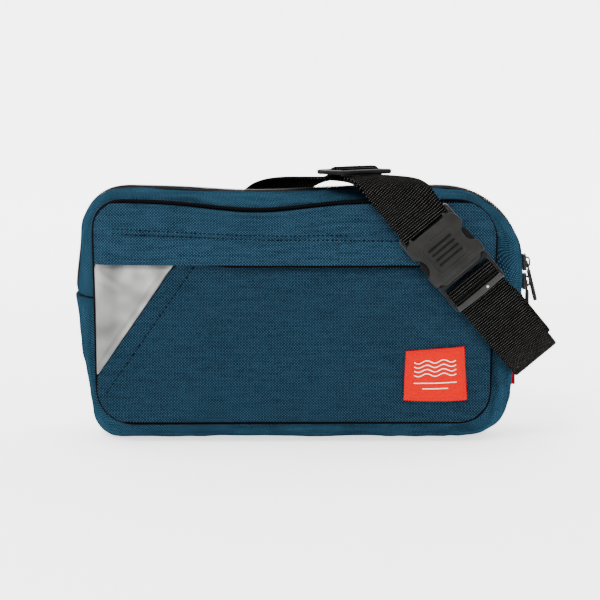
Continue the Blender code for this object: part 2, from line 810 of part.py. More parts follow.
# adjustable side: bend, front layer, round the male's bar, free tail
SPLIT = 110.3
front_path = [
    (SPLIT, -44.2), (110.0, -37.0), (109.2, -30.0), (106.4, -21.5), (101.0, -12.5), (93.5, -6.4), (84.0, -3.6),
    (72.0, -2.8), (60.0, -2.5), (53.0, -2.45), (50.6, -2.35), (49.0, -1.2), (47.8, 0.7), (46.3, 2.1),
    (44.1, 2.45), (42.3, 1.7), (41.6, -0.4), (41.6, -2.6), (42.8, -4.2), (46.0, -4.55),
]
webbing("short_strap_front", strap_sn(front_path, 3))
webbing(
    "short_strap_tail",
    strap_sn([(46.4, -4.56), (56.0, -4.65), (67.0, -5.3), (78.0, -6.2), (86.0, -7.4), (92.5, -9.5), (97.5, -12.9)], 3),
)
webbing(
    "short_strap_rear",
    strap_sn(
        [(SPLIT, -44.6), (110.0, -54.0), (108.0, -64.0), (103.0, -73.0), (96.0, -80.0), (88.0, -83.6),
         (79.0, -84.6), (66.0, -84.7), (52.0, -84.7), (38.0, -84.7)], 3,
    ),
)

# fixed side: wrapped over the top of the pouch.  The profile gives the bag side
# of the strap; h runs along it and equals the height on the front face.
PROFILE = spline(
    [
        (-42.8, 88.0), (-42.8, 108.0), (-42.8, 126.0), (-42.8, 137.0), (-42.7, 143.0), (-41.0, 148.6),
        (-36.6, 152.0), (-30.0, 153.4), (-20.0, 153.8), (-8.0, 153.8), (2.0, 153.6), (12.0, 153.1),
        (22.0, 151.8), (31.0, 149.4), (37.6, 145.4), (41.2, 139.0), (42.2, 130.0), (42.4, 120.0),
        (43.4, 108.0), (45.6, 96.0), (48.2, 86.5), (49.2, 79.0), (49.25, 70.0), (49.25, 50.0), (49.25, 34.0),
    ],
    8,
)
_arc = [0.0]
for _a, _b in zip(PROFILE, PROFILE[1:]):
    _arc.append(_arc[-1] + float(np.linalg.norm(_b - _a)))
_h = np.array(_arc) + 88.0
_py = np.array([p[0] for p in PROFILE])
_pz = np.array([p[1] for p in PROFILE])


def wrap(s, t, n):
    """Strap coordinates to space: s up from the buckle, t across, n outwards."""
    a = BUCKLE[0] - ALONG[0] * s + ACROSS[0] * t
    h = BUCKLE[2] - ALONG[1] * s + ACROSS[1] * t
    y, z = float(np.interp(h, _h, _py)), float(np.interp(h, _h, _pz))
    y0, z0 = float(np.interp(h - 1.5, _h, _py)), float(np.interp(h - 1.5, _h, _pz))
    y1, z1 = float(np.interp(h + 1.5, _h, _py)), float(np.interp(h + 1.5, _h, _pz))
    d = math.hypot(y1 - y0, z1 - z0)
    ny, nz = -(z1 - z0) / d, (y1 - y0) / d
    return (a, y + n * ny, z + n * nz)


TRI_S = 59.4
loop_path = [
    (63.5, 0.75), (50.0, 0.75), (34.0, 0.75), (20.0, 0.75), (8.0, 0.75), (1.0, 0.8), (-1.4, 0.9), (-2.9, 1.6),
    (-3.6, 3.2), (-2.9, 4.9), (-1.3, 5.6), (1.0, 5.6), (5.0, 5.1), (10.0, 4.1), (16.0, 3.0), (24.0, 2.6), (38.0, 2.6),
    (48.0, 2.6), (TRI_S - 7.4, 2.7), (TRI_S - 5.2, 4.9), (TRI_S - 2.8, 7.2), (TRI_S, 7.7), (TRI_S + 2.8, 7.2),
    (TRI_S + 5.2, 4.9), (TRI_S + 7.4, 2.6), (74.0, 1.0), (84.0, 0.75),
]
stations = [(q[0], q[1]) for q in spline(loop_path, 2)]
# down the back to the fold
h_fold = float(np.interp(-62.0, -_pz[len(_pz) // 2:], _h[len(_pz) // 2:]))
S_FOLD = (h_fold - BUCKLE[2]) / -ALONG[1]
FOLD_X = BUCKLE[0] - ALONG[0] * S_FOLD
SKEW = 0.4663            # the fold line leans, x per unit across
n_down = 22
down = [84.0 + (S_FOLD - 24.0 - 84.0) * k / n_down for k in range(1, n_down + 1)]
long_grid = [[wrap(s, t, n) for t in WEB_COLS] for s, n in stations]
long_grid += [[wrap(s, t, 0.75) for t in WEB_COLS] for s in down]


EDGES = (-WEB_W / 2, WEB_W / 2)


def fold_point(t, layer_y, out=0.0):
    return (FOLD_X + SKEW * t - 0.9063 * out, layer_y, 62.0 - t - 0.4226 * out)


for k in range(1, 7):
    f = k / 6
    row = []
    for t in WEB_COLS:
        a = Vector(wrap(down[-1], t, 0.75))
        b = Vector(fold_point(t, 50.0, -0.3))
        row.append(tuple(a * (1 - f) + b * f))
    long_grid.append(row)
webbing("long_strap", long_grid)

# slack: one slanting fold, then three turns laid flat behind the pouch
LAYERS = (47.5, 45.0, 42.5, 40.0)
X_RIGHT, X_LEFT, R_TURN = 70.0, FOLD_X + 4.0, 1.25
slack = []
for k in range(0, 9):
    p = math.pi * k / 8
    slack.append([fold_point(t, 48.75 + R_TURN * math.cos(p), R_TURN * math.sin(p)) for t in EDGES])


def flat_row(x, y):
    return [(x, y, 62.0 - t) for t in EDGES]


def turn(x, y, way):
    """Half turn at x from layer y to the next one in."""
    return [
        flat_row(x + way * R_TURN * math.sin(math.pi * k / 8), y - R_TURN + R_TURN * math.cos(math.pi * k / 8))
        for k in range(0, 9)
    ]


first = flat_row(FOLD_X + 18.0, LAYERS[0])
for k in range(1, 4):
    f = k / 4
    slack.append([tuple(Vector(a) * (1 - f) + Vector(b) * f) for a, b in zip(slack[8], first)])
slack += [flat_row(x, LAYERS[0]) for x in lerp_list(FOLD_X + 18.0, X_RIGHT, 8)[:-1]]
slack += turn(X_RIGHT, LAYERS[0], 1)
slack += [flat_row(x, LAYERS[1]) for x in lerp_list(X_RIGHT, X_LEFT, 9)[1:-1]]
slack += turn(X_LEFT, LAYERS[1], -1)
slack += [flat_row(x, LAYERS[2]) for x in lerp_list(X_LEFT, X_RIGHT - 3.0, 9)[1:-1]]
slack += turn(X_RIGHT - 3.0, LAYERS[2], 1)
slack += [flat_row(x, LAYERS[3]) for x in lerp_list(X_RIGHT - 3.0, -74.0, 9)[1:]]
slack += [flat_row(q[0], q[1]) for q in spline([(-80.0, 40.0), (-88.0, 39.6), (-97.0, 38.9), (-106.0, 38.3), (-114.0, 37.9)], 3)]
webbing("long_strap_slack", slack)

# tri-glide on the doubled strap, lying on top of the pouch
o = Vector(wrap(TRI_S, 0, 0))
e_s = (Vector(wrap(TRI_S + 1, 0, 0)) - Vector(wrap(TRI_S - 1, 0, 0))).normalized()
e_t = (Vector(wrap(TRI_S, 1, 0)) - Vector(wrap(TRI_S, -1, 0))).normalized()
e_n = e_t.cross(e_s) if e_t.cross(e_s).z > 0 else e_s.cross(e_t)
tri_centre = o + e_n * 5.15
TRI_M = frame_matrix(e_s, e_t, tri_centre)
plate(
    "tri_glide",
    [
        box_loop(-11.9, -20.4, 11.9, 20.4, 2.2, 3),
        box_loop(1.3, -16.1, 9.2, 16.1),
        box_loop(-9.2, -16.1, -1.3, 16.1),
    ],
    1.25, 0.4, TRI_M, plastic("tri_glide"),
)

for ob in part_collection.objects:
    if ob.data.materials and ob.data.materials[0] is None:
        ob.data.materials.clear()
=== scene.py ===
"""Looks for the waist bag: cloth, webbing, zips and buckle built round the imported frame."""

import math

import bmesh
import bpy
import numpy as np
from mathutils import Matrix, Vector, noise


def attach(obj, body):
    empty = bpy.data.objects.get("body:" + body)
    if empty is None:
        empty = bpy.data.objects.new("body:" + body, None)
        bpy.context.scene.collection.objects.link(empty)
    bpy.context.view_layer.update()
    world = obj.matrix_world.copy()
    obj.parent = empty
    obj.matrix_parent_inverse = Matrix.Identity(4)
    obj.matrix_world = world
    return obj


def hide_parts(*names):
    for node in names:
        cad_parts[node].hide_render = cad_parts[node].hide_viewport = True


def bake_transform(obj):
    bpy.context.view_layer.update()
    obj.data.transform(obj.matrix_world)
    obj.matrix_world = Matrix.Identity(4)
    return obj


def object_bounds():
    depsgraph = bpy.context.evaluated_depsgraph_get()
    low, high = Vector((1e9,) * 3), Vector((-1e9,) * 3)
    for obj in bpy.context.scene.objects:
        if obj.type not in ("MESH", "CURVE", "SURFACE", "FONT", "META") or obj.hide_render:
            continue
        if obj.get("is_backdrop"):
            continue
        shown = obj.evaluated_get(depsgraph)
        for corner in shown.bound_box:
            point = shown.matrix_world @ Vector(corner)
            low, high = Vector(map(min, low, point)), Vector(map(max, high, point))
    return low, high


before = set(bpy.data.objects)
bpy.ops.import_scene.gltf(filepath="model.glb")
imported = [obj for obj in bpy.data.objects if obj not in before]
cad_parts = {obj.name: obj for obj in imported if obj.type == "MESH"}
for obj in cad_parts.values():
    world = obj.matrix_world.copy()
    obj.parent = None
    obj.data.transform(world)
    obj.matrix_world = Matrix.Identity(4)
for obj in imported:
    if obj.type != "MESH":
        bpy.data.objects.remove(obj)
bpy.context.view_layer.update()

MM = 0.001
SEAM_Y = 32.6
PIPE_Y, PIPE_R = 34.3, 1.1
INSET = 0.45
CREST_POWER = 2.4
ZIP_C, ZIP_R = (83.8, 101.0), 48.8
POCKET_Y, CROWN, LIP = -35.3, 3.2, 2.3
BUCKLE = (69.7, -46.0, 131.3)
ALONG, ACROSS = (0.643, -0.766), (0.766, 0.643)
WEB_W, WEB_T = 31.0, 1.5


# ------------------------------------------------------------------ materials
CLOTH_SPEC = 0.0


class Nodes:
    """Small helper for building a node tree."""

    def __init__(self, name):
        self.m = bpy.data.materials.new(name)
        self.m.use_nodes = True
        self.t = self.m.node_tree
        self.b = self.t.nodes["Principled BSDF"]

    def add(self, kind, **values):
        n = self.t.nodes.new(kind)
        for k, v in values.items():
            setattr(n, k, v)
        return n

    def put(self, socket, v):
        if isinstance(v, bpy.types.NodeSocket):
            self.t.links.new(v, socket)
        else:
            socket.default_value = v

    def math(self, op, a, b=0.0, c=None):
        n = self.add("ShaderNodeMath", operation=op)
        self.put(n.inputs[0], a)
        self.put(n.inputs[1], b)
        if c is not None:
            self.put(n.inputs[2], c)
        return n.outputs[0]

    def uv(self):
        n = self.add("ShaderNodeUVMap", uv_map="UVMap")
        s = self.add("ShaderNodeSeparateXYZ")
        self.t.links.new(n.outputs[0], s.inputs[0])
        return s.outputs[0], s.outputs[1]

    def join(self, x, y, z=0.0):
        n = self.add("ShaderNodeCombineXYZ")
        for i, v in enumerate((x, y, z)):
            self.put(n.inputs[i], v)
        return n.outputs[0]

    def noise(self, vector, scale, detail=3.0, rough=0.55):
        n = self.add("ShaderNodeTexNoise")
        if vector is not None:
            self.t.links.new(vector, n.inputs["Vector"])
        n.inputs["Scale"].default_value = scale
        n.inputs["Detail"].default_value = detail
        n.inputs["Roughness"].default_value = rough
        return n.outputs["Fac"]

    def obj(self):
        return self.add("ShaderNodeTexCoord").outputs["Object"]

    def ramp(self, fac, stops):
        n = self.add("ShaderNodeValToRGB")
        self.put(n.inputs[0], fac)
        e = n.color_ramp.elements
        e[0].position, e[0].color = stops[0][0], (*stops[0][1], 1)
        e[1].position, e[1].color = stops[-1][0], (*stops[-1][1], 1)
        for p, c in stops[1:-1]:
            x = e.new(p)
            x.color = (*c, 1)
        return n.outputs[0]

    def mix(self, fac, a, b, kind="MIX"):
        n = self.add("ShaderNodeMix", data_type="RGBA", blend_type=kind)
        self.put(n.inputs[0], fac)
        for s, v in ((n.inputs[6], a), (n.inputs[7], b)):
            if isinstance(v, bpy.types.NodeSocket):
                self.t.links.new(v, s)
            else:
                s.default_value = (*v, 1)
        return n.outputs[2]

    def bump(self, height, strength, distance, normal=None):
        n = self.add("ShaderNodeBump")
        n.inputs["Strength"].default_value = strength
        n.inputs["Distance"].default_value = distance
        self.t.links.new(height, n.inputs["Height"])
        if normal is not None:
            self.t.links.new(normal, n.inputs["Normal"])
        return n.outputs[0]

    def done(self, colour, rough, normal=None, metallic=0.0, sheen=0.0, specular=None):
        self.put(self.b.inputs["Base Color"], colour if isinstance(colour, bpy.types.NodeSocket) else (*colour, 1))
        self.put(self.b.inputs["Roughness"], rough)
        self.put(self.b.inputs["Metallic"], metallic)
        if sheen:
            self.b.inputs["Sheen Weight"].default_value = sheen
            self.b.inputs["Sheen Roughness"].default_value = 0.5
        if specular is not None:
            self.b.inputs["Specular IOR Level"].default_value = specular
        if normal is not None:
            self.t.links.new(normal, self.b.inputs["Normal"])
        return self.m


def plain_weave(name, dark, light, pitch=0.86, crease_shade=0.0, seams=False):
    """Coarse nylon: a plain weave with uneven yarns, in UV metres, with optional painted shade in creases and at seams.
    """
    g = Nodes(name)
    u, v = g.uv()
    p = g.join(u, v)
    wob = g.math("MULTIPLY", g.math("SUBTRACT", g.noise(p, 55.0, 2.0), 0.5), 0.0011)
    wob2 = g.math("MULTIPLY", g.math("SUBTRACT", g.noise(g.join(v, u), 63.0, 2.0), 0.5), 0.0011)
    k = math.pi / (pitch * MM)
    su = g.math("SINE", g.math("MULTIPLY", g.math("ADD", u, wob), k))
    sv = g.math("SINE", g.math("MULTIPLY", g.math("ADD", v, wob2), k))
    au, av = g.math("ABSOLUTE", su), g.math("ABSOLUTE", sv)
    over = g.math("GREATER_THAN", g.math("MULTIPLY", su, sv), 0.0)
    warp = g.math("MULTIPLY", au, g.math("MULTIPLY_ADD", av, 0.45, 0.55))
    weft = g.math("MULTIPLY", av, g.math("MULTIPLY_ADD", au, 0.45, 0.55))
    h = g.math("ADD", g.math("MULTIPLY", warp, over), g.math("MULTIPLY", weft, g.math("SUBTRACT", 1.0, over)))
    # single yarns that are a little thicker or paler, both ways
    slub_a = g.noise(g.join(g.math("MULTIPLY", u, 0.22), v), 1150.0, 2.0, 0.6)
    slub_b = g.noise(g.join(u, g.math("MULTIPLY", v, 0.22), 3.1), 1150.0, 2.0, 0.6)
    fleck = g.noise(p, 1350.0, 2.0, 0.65)
    cloud = g.noise(p, 24.0, 3.0)
    tone = g.math("ADD", g.math("MULTIPLY", slub_a, 0.24), g.math("MULTIPLY", slub_b, 0.22))
    tone = g.math("ADD", tone, g.math("MULTIPLY", fleck, 0.44))
    tone = g.math("ADD", tone, g.math("MULTIPLY", cloud, 0.10))
    tone = g.math("MULTIPLY_ADD", g.math("SUBTRACT", tone, 0.5), 3.4, 0.5)
    tone.node.use_clamp = True
    f = g.math("MULTIPLY", g.math("MULTIPLY_ADD", h, 0.62, 0.06), g.math("MULTIPLY_ADD", tone, 1.0, 0.16))
    f = g.math("MULTIPLY_ADD", g.math("MULTIPLY", over, g.math("MULTIPLY_ADD", h, 0.8, 0.2)), 0.62, f)
    if crease_shade:
        # painted shade: long soft dark crease lines across the width
        line = g.noise(g.join(g.math("MULTIPLY", u, 0.11), v, 7.7), 460.0, 3.0, 0.6)
        line = g.math("MULTIPLY_ADD", g.math("SUBTRACT", line, 0.5), 5.0, 0.62)
        line.node.use_clamp = True
        f = g.math("MULTIPLY", f, g.math("MULTIPLY_ADD", line, crease_shade, 1.0 - crease_shade * 0.6))
    if seams:
        # painted shade: darker where the cloth turns in to its seams, with long soft bands of painted shade and light
        # for the folds between them
        side = g.math("ABSOLUTE", g.math("SUBTRACT", g.math("MODULO", v, 80.0 * MM), 40.0 * MM))
        seam_shade_ramp = g.math("MULTIPLY_ADD", side, 1.0 / 0.014, -0.019 / 0.014)
        seam_shade_ramp.node.use_clamp = True
        fold_shade = g.noise(g.join(g.math("MULTIPLY", u, 0.30), v, 5.1), 120.0, 2.0, 0.5)
        fold_shade = g.math("MULTIPLY_ADD", g.math("SUBTRACT", fold_shade, 0.5), 3.2, 0.5)
        fold_shade.node.use_clamp = True
        f = g.math("MULTIPLY", f, g.math("MULTIPLY_ADD", g.math("POWER", seam_shade_ramp, 1.6), -0.30, 1.0))
        f = g.math("MULTIPLY", f, g.math("MULTIPLY_ADD", fold_shade, 0.40, 0.78))
    colour = g.ramp(f, [(0.0, tuple(c * 0.12 for c in dark)), (0.22, tuple(c * 0.5 for c in dark)), (0.50, tuple((c + d) * 0.42 for c, d in zip(dark, light))), (1.0, light)])
    height = g.math("ADD", h, g.math("MULTIPLY", tone, 0.7))
    n = g.bump(height, 0.85, 0.00030)
    return g.done(colour, g.math("MULTIPLY_ADD", h, -0.12, 0.82), n, sheen=0.0, specular=CLOTH_SPEC)


def webbing_material(name, base=0.0004, hi=0.105, rib=1.42, dot=1.06):
    """Ribbed belt webbing: cross ribs made of single yarn floats, whose crests carry painted highlights."""
    g = Nodes(name)
    u, v = g.uv()
    row = g.math("FLOOR", g.math("DIVIDE", u, rib * MM))
    ribs = g.math("ABSOLUTE", g.math("SINE", g.math("MULTIPLY", u, math.pi / (rib * MM))))
    shift = g.math("MULTIPLY", g.math("MODULO", row, 2.0), 0.5)
    dots = g.math("ABSOLUTE", g.math("SINE", g.math("MULTIPLY", g.math("ADD", g.math("DIVIDE", v, dot * MM), shift), math.pi)))
    h = g.math("MULTIPLY", g.math("POWER", ribs, 0.9), g.math("MULTIPLY_ADD", dots, 0.62, 0.38))
    grain = g.noise(g.join(u, v), 1500.0, 2.0)
    grain = g.math("MULTIPLY_ADD", g.math("SUBTRACT", grain, 0.5), 3.0, 0.55)
    grain.node.use_clamp = True
    f = g.math("MULTIPLY", g.math("POWER", h, 3.5), g.math("MULTIPLY_ADD", grain, 0.6, 0.45))
    # painted highlight: the rib and float crests run up to the pale hi colour
    colour = g.ramp(f, [(0.0, (base * 0.4,) * 3), (0.28, (base * 2.0, base * 1.95, base * 1.85)), (1.0, (hi, hi * 0.98, hi * 0.93))])
    n = g.bump(h, 1.0, 0.00055)
    return g.done(colour, 0.7, n, specular=0.0)


def plastic(name, base, rough=0.45, grain=0.10, vary=0.18, shine=0.16):
    g = Nodes(name)
    o = g.obj()
    fine = g.noise(o, 2600.0, 2.0)
    # broad random mottling of the colour, partly painted in place of soft reflections
    mottle_and_sheen = g.noise(o, 90.0, 2.0)
    colour = g.ramp(mottle_and_sheen, [(0.34, tuple(c * (1 - vary) for c in base)), (0.66, tuple(c * (1 + 1.4 * vary) for c in base))])
    # painted highlight: convex edges, found by pointiness, are lightened
    point = g.add("ShaderNodeNewGeometry").outputs["Pointiness"]
    edge_highlight = g.math("MULTIPLY_ADD", point, 9.0, -4.72)
    edge_highlight.node.use_clamp = True
    colour = g.mix(edge_highlight, colour, tuple(min(1.0, c * 4.5 + 0.012) for c in base))
    return g.done(colour, g.math("MULTIPLY_ADD", fine, 0.18, rough - 0.09), g.bump(fine, grain, 0.00012), specular=shine)


def metal(name, base, rough=0.35):
    g = Nodes(name)
    o = g.obj()
    wear = g.noise(o, 700.0, 3.0)
    colour = g.ramp(wear, [(0.35, base), (0.8, tuple(min(1, c * 2.2 + 0.02) for c in base))])
    return g.done(colour, g.math("MULTIPLY_ADD", wear, 0.25, rough - 0.1), g.bump(wear, 0.08, 0.0001), metallic=0.6, specular=0.3)


def cord_material(name, base, pitch=0.9):
    """Fine ribbed tape or covered cord."""
    g = Nodes(name)
    u, v = g.uv()
    r = g.math("ABSOLUTE", g.math("SINE", g.math("MULTIPLY", g.math("ADD", u, g.math("MULTIPLY", v, 0.4)), math.pi / (pitch * MM))))
    s = g.math("ABSOLUTE", g.math("SINE", g.math("MULTIPLY", v, math.pi / (0.6 * MM))))
    h = g.math("MULTIPLY", r, g.math("MULTIPLY_ADD", s, 0.4, 0.6))
    grain = g.noise(g.join(u, v), 1500.0, 2.0)
    f = g.math("MULTIPLY", h, g.math("MULTIPLY_ADD", grain, 0.8, 0.5))
    colour = g.ramp(f, [(0.0, tuple(c * 0.4 for c in base)), (1.0, tuple(c * 2.2 for c in base))])
    return g.done(colour, 0.8, g.bump(h, 0.7, 0.0002), specular=0.02)


def reflective_material():
    g = Nodes("reflective_cloth")
    u, v = g.uv()
    p = g.join(u, v)
    cloud = g.noise(p, 48.0, 1.0)
    fine = g.noise(p, 2400.0, 2.0)
    # painted highlights: the broad cloud runs the colour from dark grey to pale, as sheen on the puckered film
    colour = g.ramp(cloud, [(0.30, (0.060, 0.060, 0.059)), (0.5, (0.165, 0.164, 0.160)), (0.70, (0.40, 0.395, 0.385))])
    grid = g.math(
        "MULTIPLY",
        g.math("ABSOLUTE", g.math("SINE", g.math("MULTIPLY", u, math.pi / (0.5 * MM)))),
        g.math("ABSOLUTE", g.math("SINE", g.math("MULTIPLY", v, math.pi / (0.5 * MM)))),
    )
    h = g.math("ADD", g.math("MULTIPLY", fine, 0.5), g.math("MULTIPLY", grid, 0.3))
    return g.done(colour, g.math("MULTIPLY_ADD", fine, 0.12, 0.36), g.bump(h, 0.18, 0.00012), metallic=0.55)


def label_material(name, base):
    """Damask label: very fine ribs."""
    g = Nodes(name)
    u, v = g.uv()
    a = g.math("ABSOLUTE", g.math("SINE", g.math("MULTIPLY", u, math.pi / (0.34 * MM))))
    b = g.math("ABSOLUTE", g.math("SINE", g.math("MULTIPLY", v, math.pi / (0.30 * MM))))
    h = g.math("MULTIPLY", a, g.math("MULTIPLY_ADD", b, 0.5, 0.5))
    grain = g.noise(g.join(u, v), 900.0, 3.0)
    f = g.math("MULTIPLY_ADD", h, 0.55, g.math("MULTIPLY", grain, 0.45))
    colour = g.ramp(f, [(0.0, tuple(c * 0.70 for c in base)), (0.8, base)])
    return g.done(colour, 0.7, g.bump(h, 0.45, 0.00012), specular=0.0)


def thread_material(name, base):
    g = Nodes(name)
    o = g.obj()
    n = g.noise(o, 4000.0, 2.0)
    colour = g.ramp(n, [(0.3, tuple(c * 0.6 for c in base)), (0.7, tuple(c * 1.5 for c in base))])
    return g.done(colour, 0.7, g.bump(n, 0.3, 0.0001), specular=0.02)


TEAL_D, TEAL_L = (0.0048, 0.0135, 0.0225), (0.0300, 0.0760, 0.1250)


def teal(k, red=1.0):
    return tuple(c * k * (red if i == 0 else 1) for i, c in enumerate(TEAL_D)), tuple(
        c * k * (red if i == 0 else 1) for i, c in enumerate(TEAL_L)
    )


M_CLOTH = plain_weave("teal_nylon", *teal(0.66, 1.0), crease_shade=0.16)
# the yoke's cloth is a lighter copy of the same teal: painted light, for the yoke lit more from above
M_YOKE_LIT = plain_weave("teal_nylon_yoke_painted_light", *teal(0.86, 1.0), crease_shade=0.26)
M_GUSSET = plain_weave("teal_nylon_gusset", *teal(1.02, 0.92), pitch=0.84, crease_shade=0.14, seams=True)
M_LINING = plain_weave("dark_lining", (0.006, 0.010, 0.014), (0.02, 0.03, 0.04), pitch=0.4)
M_WEB = webbing_material("black_webbing")
M_TAPE = cord_material("zip_tape_black", (0.0025, 0.0025, 0.0025))
M_PIPE = cord_material("piping_black", (0.0012, 0.0014, 0.0018), 1.2)
M_COIL = plastic("zip_coil_black", (0.003, 0.003, 0.003), 0.4)
M_PLASTIC = plastic("buckle_plastic", (0.0088, 0.0086, 0.0081), 0.42, 0.25, vary=0.24, shine=0.10)
M_MALE = plastic("buckle_plug_plastic", (0.0048, 0.0047, 0.0045), 0.42, 0.25, vary=0.25, shine=0.08)
M_TRI = plastic("tri_glide_plastic", (0.0022, 0.0022, 0.0022), 0.42, 0.25, vary=0.4, shine=0.06)
# a darker copy of the buckle plastic: painted shade for the prongs down in the side windows; the grip ribs use it too
M_PRONG_SHADED = plastic("buckle_prong_plastic_painted_shade", (0.0026, 0.0026, 0.0025), 0.42, 0.25, vary=0.4, shine=0.05)
M_BAR = plastic("buckle_bar_plastic", (0.016, 0.016, 0.0155), 0.38, shine=0.12)
# a pale dot of painted highlight on the lower bar
M_HIGHLIGHT_DOT = plastic("buckle_painted_highlight_dot", (0.22, 0.22, 0.21), 0.3)
M_METAL = metal("slider_black", (0.0065, 0.0065, 0.0068), 0.45)
M_PULL = plastic("pull_black", (0.0035, 0.0035, 0.0035), 0.45)
M_REFLECT = reflective_material()
M_LABEL = label_material("label_red", (0.50, 0.0002, 0.0))
M_FLAG = label_material("flag_red", (0.26, 0.002, 0.006))
M_THREAD = thread_material("thread_navy", (0.0002, 0.0011, 0.0026))
M_THREAD_L = thread_material("thread_label", (0.25, 0.02, 0.03))
M_THREAD_K = thread_material("thread_black", (0.012, 0.012, 0.012))
M_MARK = thread_material("label_mark", (0.72, 0.62, 0.55))


# ----------------------------------------------------------------- mesh tools
def ease(t):
    t = np.clip(t, 0.0, 1.0)
    return t * t * (3 - 2 * t)


def field(a, b, pa, pb, seed=0.0):
    """Smooth noise over two arrays, with a period for each."""
    a, b = np.broadcast_arrays(np.asarray(a, float) / pa, np.asarray(b, float) / pb)
    out = np.array([noise.noise(Vector((x, y, seed))) for x, y in zip(a.ravel(), b.ravel())])
    return out.reshape(a.shape)


def mesh(name, verts, faces, mat, uvs=None, shade=True):
    me = bpy.data.meshes.new(name)
    me.from_pydata((np.asarray(verts, float) * MM).tolist(), [], faces)
    me.update()
    if uvs is not None:
        layer = me.uv_layers.new(name="UVMap")
        idx = np.empty(len(me.loops), np.int32)
        me.loops.foreach_get("vertex_index", idx)
        layer.data.foreach_set("uv", (np.asarray(uvs, float)[idx] * MM).ravel())
    me.polygons.foreach_set("use_smooth", [shade] * len(me.polygons))
    for m in mat if isinstance(mat, (list, tuple)) else (mat,):
        me.materials.append(m)
    ob = bpy.data.objects.new(name, me)
    bpy.context.scene.collection.objects.link(ob)
    return ob


def place(ob, body, *nodes, slot=None):
    """Stand for these nodes, and move with the body."""
    if nodes:
        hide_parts(*nodes)
    if body:
        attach(ob, body)
    return ob


def normals_of(P):
    du = np.gradient(P, axis=0)
    dv = np.gradient(P, axis=1)
    n = np.cross(du, dv)
    return n / np.maximum(np.linalg.norm(n, axis=2, keepdims=True), 1e-12)


def lengths(P):
    """Arc length along the middle row and column of a grid."""
    r, c = P.shape[0] // 2, P.shape[1] // 2
    a = np.concatenate([[0], np.cumsum(np.linalg.norm(np.diff(P[:, c], axis=0), axis=1))])
    b = np.concatenate([[0], np.cumsum(np.linalg.norm(np.diff(P[r], axis=0), axis=1))])
    return a, b


def sheet(name, P, thick, mat, outward, uv=None, keep=None, middle=False, edge=None):
    """Grid of points made into a closed thin body.  outward is a direction or a
    function of the points; edge thins the body towards its left and right sides."""
    P = np.asarray(P, float)
    R, C = P.shape[:2]
    n = normals_of(P)
    want = outward(P) if callable(outward) else np.broadcast_to(np.asarray(outward, float), P.shape)
    flip = (n * want).sum() < 0
    if flip:
        n = -n
    if uv is None:
        a, b = lengths(P)
        uv = np.stack(np.broadcast_arrays(b[None, :], a[:, None]), axis=2)
    w = np.ones((R, C, 1)) if edge is None else np.asarray(edge, float).reshape(1, C, 1)
    half = thick / 2
    if middle:
        top, low = P + n * half * w, P - n * half * w
    else:
        top, low = P - n * half * (1 - w), P - n * half * (1 + w)
    k = R * C
    verts = np.concatenate([top.reshape(-1, 3), low.reshape(-1, 3)])
    uvs = np.concatenate([uv.reshape(-1, 2)] * 2)
    quads = []
    for r in range(R - 1):
        for c in range(C - 1):
            if keep is None or keep[r, c]:
                i = r * C + c
                quads.append((i, i + 1, i + C + 1, i + C))
    if flip:
        front = [q[::-1] for q in quads]
    else:
        front = [tuple(q) for q in quads]
    count = {}
    for q in front:
        for i in range(4):
            e = (q[i], q[(i + 1) % 4])
            count[e] = count.get(e, 0) + 1
    faces = []
    # the grid's own turning sense against its normals
    q = front[0]
    pv = verts
    fn = np.cross(pv[q[2]] - pv[q[0]], pv[q[3]] - pv[q[1]])
    if fn @ n.reshape(-1, 3)[q[0]] < 0:
        front = [f[::-1] for f in front]
        count = {(b, a): v for (a, b), v in count.items()}
    for f in front:
        faces.append(f)
        faces.append(tuple(i + k for i in reversed(f)))
    for (a, b) in count:
        if (b, a) not in count:
            faces.append((b, a, a + k, b + k))
    used = sorted({i for f in faces for i in f})
    index = np.full(2 * k, -1)
    index[used] = np.arange(len(used))
    faces = [tuple(int(index[i]) for i in f) for f in faces]
    return mesh(name, verts[used], faces, mat, uvs[used])


def rope(name, path, radius, mat, around=8, closed=False, flat=1.0, up=(0, 1, 0)):
    """Round cord along a path; radius may change along it."""
    P = np.asarray(path, float)
    n = len(P)
    if closed:
        T = np.roll(P, -1, 0) - np.roll(P, 1, 0)
    else:
        T = np.gradient(P, axis=0)
    T /= np.linalg.norm(T, axis=1, keepdims=True)
    U = np.cross(T, np.asarray(up, float))
    U /= np.maximum(np.linalg.norm(U, axis=1, keepdims=True), 1e-9)
    V = np.cross(T, U)
    rad = np.broadcast_to(np.asarray(radius, float), (n,))
    a = np.arange(around) / around * 2 * math.pi
    ring = (
        P[:, None]
        + U[:, None] * (np.cos(a)[None, :, None] * rad[:, None, None])
        + V[:, None] * (np.sin(a)[None, :, None] * rad[:, None, None] * flat)
    )
    s = np.concatenate([[0], np.cumsum(np.linalg.norm(np.diff(P, axis=0), axis=1))])
    uv = np.stack(np.broadcast_arrays(s[:, None], (a * 1.0)[None, :]), axis=2)
    verts = ring.reshape(-1, 3)
    faces = []
    for i in range(n if closed else n - 1):
        j = (i + 1) % n
        for k in range(around):
            m = (k + 1) % around
            faces.append((i * around + k, i * around + m, j * around + m, j * around + k))
    if not closed:
        faces.append(tuple(range(around))[::-1])
        faces.append(tuple((n - 1) * around + k for k in range(around)))
    return mesh(name, verts, faces, mat, uv.reshape(-1, 2))


def resample(path, step):
    P = np.asarray(path, float)
    d = np.concatenate([[0], np.cumsum(np.linalg.norm(np.diff(P, axis=0), axis=1))])
    m = max(2, int(round(d[-1] / step)) + 1)
    s = np.linspace(0, d[-1], m)
    return np.stack([np.interp(s, d, P[:, k]) for k in range(P.shape[1])], axis=1), s


